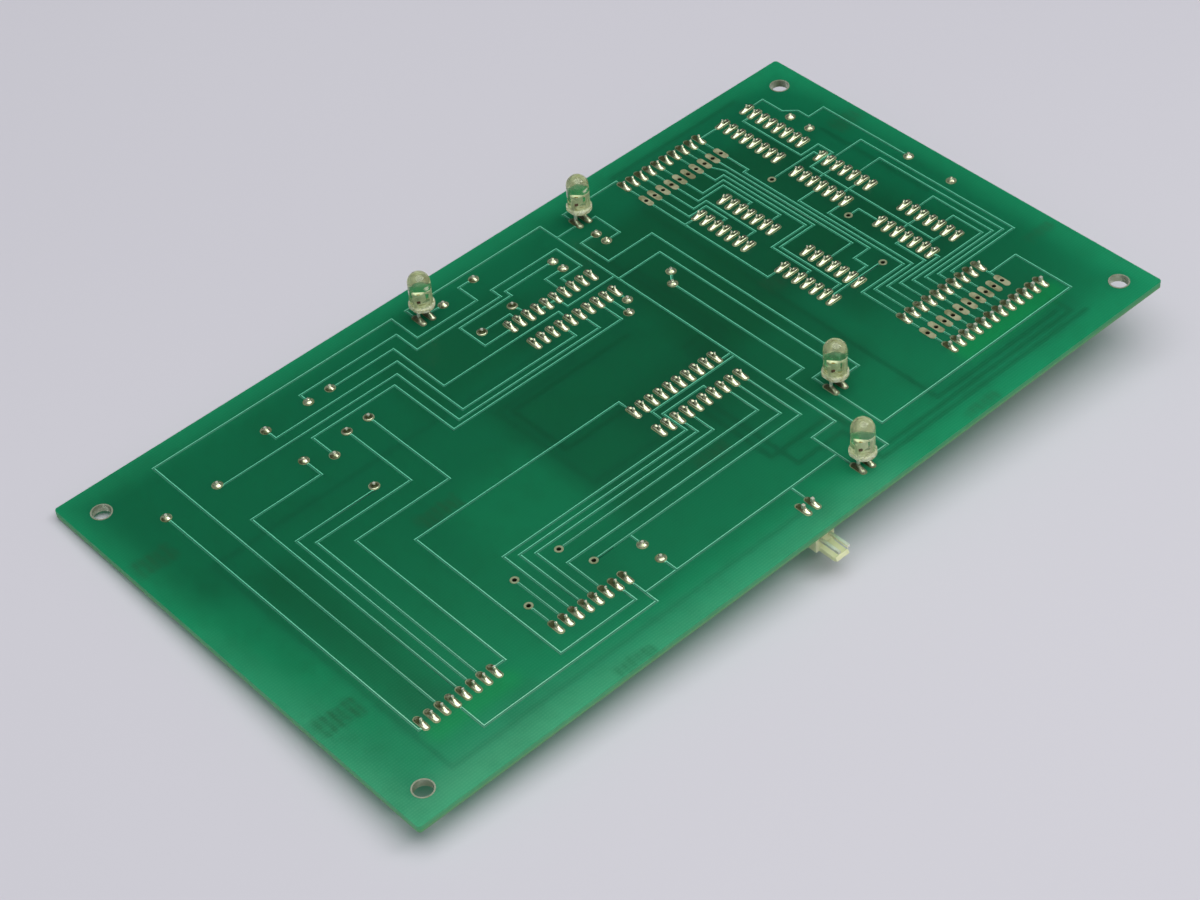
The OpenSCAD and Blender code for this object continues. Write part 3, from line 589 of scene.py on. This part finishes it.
def dress(material, *nodes):
    """Gives CAD nodes their finish by their material slots."""
    for name in nodes:
        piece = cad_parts[name]
        if not piece.material_slots:
            piece.data.materials.append(material)
        for slot in piece.material_slots:
            slot.material = material


masked_laminate = laminate_finish()
dress(masked_laminate, "board_laminate")
print("laminate finish nodes:", len(masked_laminate.node_tree.nodes))

# %% [markdown]
# A new piece mostly starts from a CAD node's own shape. That mesh is loose triangles, so a copy
# is merged into one skin first, and its flat triangles are joined into whole faces. Then edges
# can be rounded and rims inset. The finished piece keeps the node's place, rides on the board and
# stands for the node.

# %% Helpers for pieces
MERGE = 0.5e-6
FLAT_ANGLE = math.radians(0.5)
SHARP_ANGLE = math.radians(30)
BODY = "root"


def merged_copy(node):
    skin = bmesh.new()
    skin.from_mesh(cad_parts[node].data)
    bmesh.ops.remove_doubles(skin, verts=skin.verts, dist=MERGE)
    bmesh.ops.dissolve_limit(skin, angle_limit=FLAT_ANGLE, use_dissolve_boundaries=False,
                             verts=skin.verts, edges=skin.edges)
    return skin


def soften(skin, width):
    """Rounds the edges that are sharper than the sharp angle."""
    edges = [edge for edge in skin.edges
             if len(edge.link_faces) == 2 and edge.calc_face_angle(0.0) > SHARP_ANGLE]
    bmesh.ops.bevel(skin, geom=edges, offset=width, offset_type="OFFSET", affect="EDGES",
                    segments=3, profile=0.5, material=-1, clamp_overlap=True)


def finish_piece(skin, name, material, nodes=(), crease=math.radians(40)):
    """Makes the object of a new piece, smooth but for edges sharper than crease."""
    mesh = bpy.data.meshes.new(name)
    skin.to_mesh(mesh)
    skin.free()
    mesh.materials.append(material)
    mesh.shade_smooth()
    mesh.set_sharp_from_angle(angle=crease)
    piece = bpy.data.objects.new(name, mesh)
    bpy.context.scene.collection.objects.link(piece)
    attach(piece, BODY)
    if nodes:
        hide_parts(*nodes)
    print(name, "faces:", len(mesh.polygons))
    return piece


def islands(node):
    """The lowest and highest corner of each separate solid in a CAD node."""
    skin = merged_copy(node)
    found = []
    waiting = set(skin.verts)
    while waiting:
        edge_of_search = [waiting.pop()]
        group = []
        while edge_of_search:
            vertex = edge_of_search.pop()
            group.append(vertex.co.copy())
            for edge in vertex.link_edges:
                other = edge.other_vert(vertex)
                if other in waiting:
                    waiting.remove(other)
                    edge_of_search.append(other)
        found.append((Vector([min(co[i] for co in group) for i in range(3)]),
                      Vector([max(co[i] for co in group) for i in range(3)])))
    skin.free()
    return sorted(found, key=lambda box: tuple(round(value, 6) for value in box[0]))


print("piece helpers ready")

# %% [markdown]
# A track is copper under the varnish. The varnish lies thin on the corners of each track, so the
# copper shows a little paler there. On the far side of each track, away from the camera, a pale
# line is painted as well: the highlight that the sloped rim catches there. The rest of the track is
# hardly lighter than the board, and the whole track is painted lighter where painted light comes
# through the rim. The copy of the tracks gets an inset rim that slopes down on the far side, and a
# number on each rim face says how thin the varnish is and where the highlight is painted.

# %% Tracks on the solder side
RIM_INSET = 0.20 * MM
RIM_DROP = 0.035 * MM
FAR_SIDE = Vector((0.55, 0.83, 0.0))
FAR_SIDE_THINNESS_AND_GLINT = 1.0
FRONT_THINNESS = 0.15


def thin_and_glinting_rims(skin, copper_top):
    """Insets the track tops, slopes the far rims, marks thin varnish and the painted highlight."""
    thinness_and_glint = skin.faces.layers.float.new("thinness_and_glint")
    tops = [face for face in skin.faces
            if face.normal.z > 0.9 and face.calc_center_median().z > copper_top / 2]
    rims = bmesh.ops.inset_region(skin, faces=tops, thickness=RIM_INSET, depth=0.0,
                                  use_boundary=True, use_even_offset=True)["faces"]
    outer = set()
    for face in rims:
        for edge in face.edges:
            walls = [other for other in edge.link_faces if abs(other.normal.z) < 0.5]
            if walls:
                is_far_side = walls[0].normal.dot(FAR_SIDE) > 0
                face[thinness_and_glint] = FAR_SIDE_THINNESS_AND_GLINT if is_far_side else FRONT_THINNESS
                if is_far_side:
                    outer.update(edge.verts)
    for vertex in outer:
        vertex.co.z -= RIM_DROP
    return len(rims)


def track_finish():
    material, tree, shader, place, _ = new_varnish("masked_tracks")
    light = group_result(tree, pale_rim, Point=place)
    thin = add_node(tree, "Attribute", attribute_name="thinness_and_glint").outputs["Fac"]
    # Painted highlight on the far rims, and painted light from the rim on the whole track.
    pale = mix_colour(tree, sum_node(tree, "MULTIPLY", light, 1.6, clamp=True),
                      rgb(106, 202, 165), rgb(150, 216, 182))
    dull = mix_colour(tree, light, rgb(30, 100, 72), rgb(54, 130, 98))
    feed(tree, shader.inputs["Base Color"], mix_colour(tree, thin, dull, pale))
    return material


masked_tracks = track_finish()
track_skin = merged_copy("solder_side_tracks")
rim_count = thin_and_glinting_rims(track_skin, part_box("solder_side_tracks")[1].z)
finish_piece(track_skin, "solder_side_copper", masked_tracks,
             ["solder_side_tracks"])
dress(masked_tracks, "component_side_tracks")
print("rim faces:", rim_count)

# %% [markdown]
# The bare metal comes in five kinds: the plating of the mounting holes, tinned copper around each
# drilled hole, the dull pads that were never soldered, the parts' leads and the solder. They differ
# in how much shade is painted inside a hole, in how blurred their shine is and in what has dried
# on them. Flux leaves a brown film where the solder is thin, and the same brown is painted as
# shade on the far side of each joint. Each joint carries a number that says where its own flux and
# painted shade lie.

# %% Metal finishes
HOLE_SHADE = (30, 26, 18)
FLUX_AND_SHADE_BROWN = (70, 77, 43)


def metal_finish(name, light, dark, roughness, grain, metallic=1.0, hole_shade=0.0):
    """Metal in two near shades. Painted shade darkens what lies inside a drilled hole."""
    material, tree, shader, place = new_finish(name, Metallic=metallic)
    patch = smooth_range(tree, noise(tree, place, 350.0, 3.0, 0.6), 0.35, 0.65)
    colour = mix_colour(tree, patch, rgb(*light), rgb(*dark))
    if hole_shade:
        # Painted shade inside the drilled hole.
        height = axis_of(tree, place, "Z")
        inside = smooth_range(tree, height, -0.30 * MM, 0.05 * MM, hole_shade, 0.0)
        below = smooth_range(tree, height, -BOARD_THICK, 0.3 * MM - BOARD_THICK)
        depth = sum_node(tree, "MULTIPLY", inside, below)
        colour = mix_colour(tree, depth, colour, rgb(*HOLE_SHADE))
    feed(tree, shader.inputs["Base Color"], colour)
    feed(tree, shader.inputs["Roughness"], smooth_range(tree, patch, 0.0, 1.0, *roughness))
    bump(tree, shader, noise(tree, place, grain), 0.012 * MM, 0.6)
    return material


def solder_finish():
    """Bright tin in two near shades. Flux and painted shade turn it brown where the mesh says so.
    """
    material, tree, shader, place = new_finish("solder")
    patch = noise(tree, place, 1100.0, 3.0, 0.6)
    flux_and_shade = add_node(tree, "Attribute", attribute_name="flux_and_shade").outputs["Fac"]
    flux_and_shade = smooth_range(tree, sum_node(tree, "MULTIPLY_ADD", patch, 0.9, flux_and_shade), 0.45, 1.00)
    tin = mix_colour(tree, smooth_range(tree, noise(tree, place, 2200.0), 0.42, 0.62),
                     rgb(203, 215, 176), rgb(198, 195, 165))
    feed(tree, shader.inputs["Base Color"], mix_colour(tree, flux_and_shade, tin, rgb(*FLUX_AND_SHADE_BROWN)))
    feed(tree, shader.inputs["Metallic"], smooth_range(tree, flux_and_shade, 0.0, 1.0, 1.0, 0.5))
    feed(tree, shader.inputs["Roughness"], smooth_range(tree, flux_and_shade, 0.0, 1.0, 0.27, 0.42))
    bump(tree, shader, noise(tree, place, 1300.0), 0.03 * MM, 0.5)
    return material


hole_plating = metal_finish("hole_plating", (204, 210, 188), (158, 168, 140), (0.25, 0.40), 1800.0,
                            metallic=0.6)
tinned_copper = metal_finish("tinned_copper", (182, 194, 154), (112, 124, 82), (0.35, 0.55), 1800.0,
                             metallic=0.6, hole_shade=0.9)
bare_pads = metal_finish("bare_pads", (170, 172, 136), (122, 124, 88), (0.50, 0.70), 1500.0,
                         metallic=0.35, hole_shade=0.9)
tinned_leads = metal_finish("tinned_leads", (240, 242, 226), (206, 210, 188), (0.30, 0.45), 2400.0,
                            metallic=0.6)
solder = solder_finish()
dress(hole_plating, "plated_mounting_holes")
dress(tinned_copper, "chip_pads", "row_pads", "wire_pads", "through_hole_links")
dress(bare_pads, "open_row_pads")
dress(tinned_leads, *[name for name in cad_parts
                      if name.endswith(("_pins", "_wires", "_leads"))])
print("solder finish nodes:", len(solder.node_tree.nodes))

# %% [markdown]
# The board was drawn across a wave of molten solder, so each joint has a fat end and a thin end.
# The fat end is a bright mound that climbs to the lead's tip, and the thin end is a shallow
# hollow under brown flux and painted shade. A chip's joint also has a second, lower mound, and
# the lamps' joints were made by hand. A wire's joint is a round hill that covers the clipped end,
# with painted shade low on one side, or a hollow where the solder didn't climb. A lathe can't
# make all that. A circle of points is laid on the pad's outline and carried upwards, ring by ring,
# each ring smaller and closer to the tip than the last. Every joint gets its own slight lean,
# height and share of flux and painted shade.

# %% Solder joints
NEARLY_EQUAL = 0.5 * MM
RING_POINTS = 14
RIM_TOP = 0.07
TIP_TOP = 1.45
# Each ring has half its width, its reach and height at the fat end, and both at the thin end.
LONG_RINGS = ((0.68, 2.04, 0.07, 1.98, 0.07), (0.66, 1.99, 0.20, 1.92, 0.24),
              (0.60, 1.84, 0.32, 1.68, 0.31), (0.50, 1.55, 0.44, 1.20, 0.20),
              (0.39, 1.15, 0.57, 0.70, 0.26), (0.32, 0.72, 0.74, 0.42, 0.56),
              (0.26, 0.42, 1.00, 0.28, 0.95), (0.14, 0.20, 1.45, 0.16, 1.45))
CHIP_RINGS = ((0.68, 2.04, 0.07, 1.98, 0.07), (0.66, 1.99, 0.20, 1.94, 0.36),
              (0.57, 1.78, 0.34, 1.78, 0.62), (0.46, 1.48, 0.46, 1.46, 0.58),
              (0.38, 1.15, 0.58, 1.06, 0.46), (0.31, 0.72, 0.76, 0.62, 0.40),
              (0.26, 0.42, 1.00, 0.30, 0.86), (0.14, 0.20, 1.45, 0.16, 1.45))
# A round joint is the same on all sides, so each of its rings is a radius and a height.
ROUND_RINGS = [(r, r, z, r, z) for r, z in (
    (1.08, 0.07), (1.05, 0.20), (0.96, 0.30), (0.80, 0.42), (0.60, 0.56), (0.42, 0.74),
    (0.32, 0.94), (0.12, 1.01))]
HOLLOW_RINGS = [(r, r, z, r, z) for r, z in (
    (1.10, 0.07), (1.04, 0.24), (0.90, 0.30), (0.70, 0.20), (0.48, 0.10), (0.36, 0.26),
    (0.33, 0.62))]
LAMP_RINGS = ((0.68, 2.04, 0.07, 1.98, 0.07), (0.66, 1.99, 0.22, 1.90, 0.22),
              (0.58, 1.75, 0.42, 1.50, 0.32), (0.50, 1.36, 0.62, 0.98, 0.40),
              (0.43, 0.96, 0.84, 0.60, 0.58), (0.36, 0.56, 1.10, 0.40, 0.90),
              (0.30, 0.34, 1.45, 0.30, 1.45))
HOLLOW_PLACES = ((2.395, 0.99), (2.17, 0.99), (1.93, 1.635), (3.70, 0.875), (4.09, 0.81))


def shape_ring(ring, half_w, fat_reach, fat_z, thin_reach, thin_z):
    """Lays the circle's points on a rounded outline with its fat end to -Y."""
    for step, vertex in enumerate(ring):
        angle = 2 * math.pi * (step + 0.5) / len(ring)
        x, y = half_w * math.cos(angle), half_w * math.sin(angle)
        if y > 0:
            vertex.co = Vector((x, y + thin_reach - half_w, thin_z)) * MM
        else:
            vertex.co = Vector((x, y + half_w - fat_reach, fat_z)) * MM


def long_flux_and_shade(x, y, z):
    """Flux and painted shade lie on the far half, in the hollow between the tip and the thin end.
    """
    if z > 0.9:
        return 0.0
    return min(1.0, max(0.0, (y + 0.15) / 0.6)) * (0.35 if y > 1.6 else 1.0)


def chip_flux_and_shade(x, y, z):
    """The small pads stayed bright. Flux and painted shade lie only in the dip behind the tip."""
    return 1.0 if 0.25 < y < 0.8 and z < 0.8 else 0.0


def lamp_flux_and_shadow(x, y, z):
    """The pads under a lamp were soldered by hand and stayed brown all over, with the lamp's shadow
    painted on the far half.
    """
    return max(0.25, long_flux_and_shade(x, y, z))


def round_painted_shade(x, y, z):
    """Painted shade lies low on the side of the hill towards -X, turned a little to -Y."""
    if z >= 0.7:
        return 0.0
    return min(1.0, max(0.0, (-0.9 * x - 0.43 * y - 0.35) / 0.3))


def hollow_darkening(x, y, z):
    """The hollow around a wire that the solder didn't climb is darkened."""
    return 1.0 if math.hypot(x, y) < 0.8 else 0.0


def joint_mesh(name, rings, flux_and_shade_at):
    """One joint about the origin, with its fat end to -Y."""
    skin = bmesh.new()
    flux_and_shade = skin.verts.layers.float.new("flux_and_shade")
    ring = bmesh.ops.create_circle(skin, cap_ends=False, radius=1.0, segments=RING_POINTS)["verts"]
    ring = sorted(ring, key=lambda vertex: math.atan2(vertex.co.y, vertex.co.x) % (2 * math.pi))
    shape_ring(ring, *rings[0])
    for values in rings[1:]:
        upper = [skin.verts.new(vertex.co) for vertex in ring]
        shape_ring(upper, *values)
        for step, vertex in enumerate(ring):
            following = (step + 1) % len(ring)
            skin.faces.new((vertex, ring[following], upper[following], upper[step]))
        ring = upper
    skin.faces.new(ring)
    for vertex in skin.verts:
        vertex[flux_and_shade] = flux_and_shade_at(*(vertex.co / MM))
    bmesh.ops.recalc_face_normals(skin, faces=skin.faces)
    mesh = bpy.data.meshes.new(name)
    skin.to_mesh(mesh)
    skin.free()
    return mesh


JOINTS = {
    "long": joint_mesh("long_joint", LONG_RINGS, long_flux_and_shade),
    "round": joint_mesh("round_joint", ROUND_RINGS, round_painted_shade),
    "hollow": joint_mesh("hollow_joint", HOLLOW_RINGS, hollow_darkening),
    "chip": joint_mesh("chip_joint", CHIP_RINGS, chip_flux_and_shade),
    "lamp": joint_mesh("lamp_joint", LAMP_RINGS, lamp_flux_and_shadow),
}
FLUX_AND_SHADE_STRENGTH = {"long": (0.45, 1.0), "round": (0.1, 0.7), "hollow": (0.8, 1.0),
                 "chip": (0.65, 1.0), "lamp": (0.9, 1.0)}


def is_hollow(middle):
    return any((grid_place(u, v) - middle).length < NEARLY_EQUAL for u, v in HOLLOW_PLACES)


def solder_joints(node, dice, long_kind="long"):
    """A joint on each pad of a CAD solder node."""
    skin = bmesh.new()
    flux_and_shade = skin.verts.layers.float.new("flux_and_shade")
    for low, high in islands(node):
        middle = Vector(((low.x + high.x) / 2, (low.y + high.y) / 2, 0.0))
        size = high - low
        lengthwise = size.x > size.y + NEARLY_EQUAL
        round_pad = abs(size.x - size.y) < NEARLY_EQUAL
        kind = ("hollow" if is_hollow(middle) else "round") if round_pad else long_kind
        first = len(skin.verts)
        skin.from_mesh(JOINTS[kind])
        skin.verts.ensure_lookup_table()
        tallness = dice.uniform(0.90, 1.0)
        lean = Vector((dice.uniform(-0.10, 0.10), dice.uniform(-0.16, 0.20), 0.0))
        swell = dice.uniform(0.95, 1.03)
        # Each joint's share of flux and painted shade.
        flux_and_shade_share = dice.uniform(*FLUX_AND_SHADE_STRENGTH[kind])
        turn = Matrix.Rotation(-math.pi / 2 if lengthwise else 0.0, 3, "Z")
        for vertex in skin.verts[first:]:
            share = max(0.0, (vertex.co.z / MM - RIM_TOP) / (TIP_TOP - RIM_TOP))
            width = swell if share > 0 else 1.0
            moved = Vector((vertex.co.x * width, vertex.co.y * width, vertex.co.z * tallness))
            vertex.co = turn @ (moved + lean * share * share * MM) + middle
            vertex[flux_and_shade] *= flux_and_shade_share
    return skin


SOLDER_NODES = (("chip_solder", "chip"), ("row_solder", "long"), ("header_solder", "long"),
                ("resistor_solder", "long"), ("capacitor_solder", "long"), ("lamp_solder", "lamp"))
for seed, (node, long_kind) in enumerate(SOLDER_NODES):
    joints = solder_joints(node, random.Random(seed), long_kind)
    finish_piece(joints, node.replace("solder", "joints"), solder, [node],
                 crease=math.radians(80))

# %% [markdown]
# A lamp is one casting of clear epoxy: a round body with a domed top, and a flange at its foot
# with a flat that marks one lead. It is a turned shape, so half of its outline is drawn and spun
# about the lamp's axis. The dome is a loop of points on a quarter circle. The flat is a cut by a
# plane. The metal frame stands inside the epoxy, so the piece has no hollow for it. The old epoxy
# is clear above and hazy in its foot, where the frame is.

# %% Lamps
LAMP_R = 2.5 * MM
FLANGE_R = 2.85 * MM
FLANGE_H = 1.0 * MM
FILLET_R = 0.15 * MM
FLAT_REACH = 1.004 * LAMP_R
DOME_STEPS = 12
SPIN_STEPS = 48


def lamp_outline(height):
    """Half of the lamp's section, from the middle of its foot to its tip."""
    points = [(0.0, 0.0), (FLANGE_R - FILLET_R, 0.0), (FLANGE_R, FILLET_R),
              (FLANGE_R, FLANGE_H - FILLET_R), (FLANGE_R - FILLET_R, FLANGE_H),
              (LAMP_R + FILLET_R, FLANGE_H), (LAMP_R, FLANGE_H + FILLET_R)]
    for step in range(DOME_STEPS + 1):
        angle = math.pi / 2 * step / DOME_STEPS
        points.append((LAMP_R * math.cos(angle), height - LAMP_R + LAMP_R * math.sin(angle)))
    return points


def lamp_skin(low, high):
    skin = bmesh.new()
    axis_x = high.x - FLANGE_R
    axis_y = (low.y + high.y) / 2
    outline = [skin.verts.new((r, 0.0, z)) for r, z in lamp_outline(high.z - low.z)]
    edges = [skin.edges.new(pair) for pair in zip(outline, outline[1:])]
    bmesh.ops.spin(skin, geom=outline + edges, cent=(0, 0, 0), axis=(0, 0, 1), dvec=(0, 0, 0),
                   angle=2 * math.pi, steps=SPIN_STEPS, use_merge=True)
    bmesh.ops.remove_doubles(skin, verts=skin.verts, dist=MERGE)
    cut = bmesh.ops.bisect_plane(skin, geom=skin.verts[:] + skin.edges[:] + skin.faces[:],
                                 plane_co=(-FLAT_REACH, 0, 0), plane_no=(-1, 0, 0),
                                 clear_outer=True)["geom_cut"]
    bmesh.ops.holes_fill(skin, edges=[item for item in cut if isinstance(item, bmesh.types.BMEdge)])
    bmesh.ops.recalc_face_normals(skin, faces=skin.faces)
    bmesh.ops.translate(skin, vec=(axis_x, axis_y, low.z), verts=skin.verts)
    return skin


CLEARNESS = (0.56, 0.955)
EPOXY_TINT = (241, 254, 213)


def epoxy_finish(foot):
    """Clear above, hazy in the flange, and a rough cream skin underneath, at the height foot."""
    material, tree, shader, place = new_finish("clear_epoxy", Roughness=0.04, IOR=1.5)
    height = axis_of(tree, place, "Z")
    haze = noise(tree, place, 1100.0, 3.0, 0.6)
    hazy_height = sum_node(tree, "MULTIPLY_ADD", haze, 1.2 * MM, height)
    clear = smooth_range(tree, hazy_height, foot + 1.2 * MM, foot + 2.4 * MM, *CLEARNESS)
    above_skin = smooth_range(tree, height, foot + 0.05 * MM, foot + 0.15 * MM)
    feed(tree, shader.inputs["Transmission Weight"],
         sum_node(tree, "MULTIPLY", clear, above_skin))
    speck = smooth_range(tree, noise(tree, place, 1900.0), 0.45, 0.62)
    skin_colour = mix_colour(tree, speck, rgb(255, 255, 236), rgb(196, 192, 140))
    clear_part = smooth_range(tree, hazy_height, foot + 1.0 * MM, foot + 2.2 * MM)
    feed(tree, shader.inputs["Base Color"],
         mix_colour(tree, clear_part, skin_colour, rgb(*EPOXY_TINT)))
    ripple = smooth_range(tree, height, foot + 1.0 * MM, foot + 1.8 * MM, 1.0, 0.15)
    sparkle = sum_node(tree, "MULTIPLY", noise(tree, place, 1300.0), ripple)
    bump(tree, shader, sparkle, 0.16 * MM, 0.8)
    return material


def plain_part_finish(name, light, dark, roughness, grain=1200.0, depth=0.02 * MM, gloss=0.0):
    """Moulded or coated stuff: two near shades in patches, and a fine grain."""
    material, tree, shader, place = new_finish(name)
    patch = noise(tree, place, 260.0, 3.0)
    feed(tree, shader.inputs["Base Color"], mix_colour(tree, patch, rgb(*light), rgb(*dark)))
    feed(tree, shader.inputs["Roughness"],
         smooth_range(tree, patch, 0.2, 0.8, roughness, min(1.0, roughness + 0.12)))
    shader.inputs["Coat Weight"].default_value = gloss
    shader.inputs["Coat Roughness"].default_value = 0.1
    bump(tree, shader, noise(tree, place, grain, 3.0), depth, 0.6)
    return material


LAMP_NUMBERS = range(1, 5)
clear_epoxy = epoxy_finish(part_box("lamp_1_lens")[0].z)
for number in LAMP_NUMBERS:
    lens = f"lamp_{number}_lens"
    finish_piece(lamp_skin(*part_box(lens)), f"lamp_{number}_epoxy", clear_epoxy,
                 [lens])
lamp_frame = metal_finish("lamp_frame", (250, 250, 236), (226, 228, 208), (0.35, 0.5), 1500.0,
                          metallic=0.35)
dress(lamp_frame, *[f"lamp_{number}_leads" for number in LAMP_NUMBERS])
dress(metal_finish("gold_die", (214, 176, 92), (180, 140, 66), (0.3, 0.45), 2000.0), "lamp_dies")
dress(plain_part_finish("dark_chip", (112, 6, 2), (80, 4, 0), 0.6), "lamp_chips")

# %% [markdown]
# The component side faces down and is mostly hidden, but it is made with the same care. Moulded
# chips, dipped resistor rows and nylon headers have no razor edges, so each copy gets its edges
# rounded. Black epoxy is matt, the dipped coats are glossy and nylon is milky.

# %% Moulded and dipped parts
chip_plastic = plain_part_finish("chip_plastic", (44, 44, 46), (30, 30, 32), 0.52, 2600.0)
network_coat = plain_part_finish("network_coating", (126, 62, 34), (98, 44, 24), 0.28, 500.0,
                                 0.05 * MM, gloss=0.5)
nylon = plain_part_finish("nylon", (230, 232, 190), (216, 220, 170), 0.42, 900.0)
disc_coat = plain_part_finish("disc_coating", (178, 116, 62), (150, 92, 46), 0.42, 420.0,
                              0.08 * MM, gloss=0.2)
bead_coat = plain_part_finish("bead_coating", (214, 140, 40), (190, 116, 28), 0.30, 380.0,
                              0.06 * MM, gloss=0.5)
milk = nylon.node_tree.nodes["Principled BSDF"].inputs
milk["Subsurface Weight"].default_value = 0.25
milk["Subsurface Scale"].default_value = 1.5 * MM
milk["Subsurface Radius"].default_value = (1.0, 0.95, 0.7)

ROUNDED = (
    *[(f"{name}_body", chip_plastic, "chip_plastic", 0.12 * MM)
      for name in ("driver_1", "driver_2", "counter", "logic_1", "logic_2", "logic_3", "logic_4")],
    *[(f"network_{number}_body", network_coat, "network_coating", 0.45 * MM)
      for number in range(1, 5)],
    ("plug_header_base", nylon, "nylon", 0.15 * MM),
    ("edge_header_base", nylon, "nylon", 0.15 * MM),
)
for node, finish, slot, width in ROUNDED:
    rounded = merged_copy(node)
    soften(rounded, width)
    name = node.replace("body", "moulding").replace("base", "housing")
    finish_piece(rounded, name, finish, [node])
dress(disc_coat, "disc_capacitor")
dress(bead_coat, "bead_capacitor")

# %% [markdown]
# A carbon resistor is a tan body, waisted between two end caps, with its value in coloured rings.
# It is turned like the lamps. A number that runs from one end to the other is kept on its points,
# and the finish reads its rings from that, so the rings follow each body wherever it lies.

# %% Resistors
LEFT_PROFILE = ((-3.10, 0.00), (-3.10, 0.62), (-2.98, 0.92), (-2.70, 1.12), (-2.30, 1.15),
                (-1.95, 1.12), (-1.62, 0.98), (-1.30, 0.92))
RESISTOR_PROFILE = (*LEFT_PROFILE, *[(-x, r) for x, r in reversed(LEFT_PROFILE)])
RESISTOR_SPIN = 24
RING_SETS = (
    ((-2.45, (196, 150, 40)), (-1.0, (110, 60, 160)), (0.1, (150, 36, 28)), (2.3, (190, 150, 70))),
    ((-2.45, (130, 78, 44)), (-1.0, (30, 30, 30)), (0.1, (196, 96, 36)), (2.3, (190, 150, 70))),
)
RING_EDGE = (0.26, 0.31)


def resistor_mesh():
    skin = bmesh.new()
    outline = [skin.verts.new((x * MM, r * MM, 0.0)) for x, r in RESISTOR_PROFILE]
    edges = [skin.edges.new(pair) for pair in zip(outline, outline[1:])]
    bmesh.ops.spin(skin, geom=outline + edges, cent=(0, 0, 0), axis=(1, 0, 0), dvec=(0, 0, 0),
                   angle=2 * math.pi, steps=RESISTOR_SPIN, use_merge=True)
    bmesh.ops.remove_doubles(skin, verts=skin.verts, dist=MERGE)
    bmesh.ops.recalc_face_normals(skin, faces=skin.faces)
    along = skin.verts.layers.float.new("along")
    for vertex in skin.verts:
        vertex[along] = vertex.co.x / MM
    mesh = bpy.data.meshes.new("resistor")
    skin.to_mesh(mesh)
    skin.free()
    return mesh


def resistor_finish(name, rings):
    material, tree, shader, place = new_finish(name, Roughness=0.38)
    shader.inputs["Coat Weight"].default_value = 0.4
    shader.inputs["Coat Roughness"].default_value = 0.15
    colour = mix_colour(tree, noise(tree, place, 500.0), rgb(206, 170, 122), rgb(190, 152, 104))
    along = add_node(tree, "Attribute", attribute_name="along").outputs["Fac"]
    for middle, shade in rings:
        gap = sum_node(tree, "ABSOLUTE", sum_node(tree, "SUBTRACT", along, middle))
        ring = smooth_range(tree, gap, *RING_EDGE, 1.0, 0.0)
        colour = mix_colour(tree, ring, colour, rgb(*shade))
    feed(tree, shader.inputs["Base Color"], colour)
    bump(tree, shader, noise(tree, place, 900.0), 0.03 * MM, 0.5)
    return material


def resistor_group(boxes):
    template = resistor_mesh()
    skin = bmesh.new()
    for low, high in boxes:
        first = len(skin.verts)
        skin.from_mesh(template)
        skin.verts.ensure_lookup_table()
        lengthwise = high.x - low.x > high.y - low.y
        turn = Matrix.Rotation(0.0 if lengthwise else math.pi / 2, 3, "Z")
        for vertex in skin.verts[first:]:
            vertex.co = turn @ vertex.co + (low + high) / 2
    return skin


resistor_boxes = islands("resistor_bodies")
for index, rings in enumerate(RING_SETS):
    finish = resistor_finish(f"resistor_coat_{index + 1}", rings)
    nodes = ["resistor_bodies"] if index == 0 else []
    finish_piece(resistor_group(resistor_boxes[index::len(RING_SETS)]), f"resistors_{index + 1}",
                 finish, nodes)
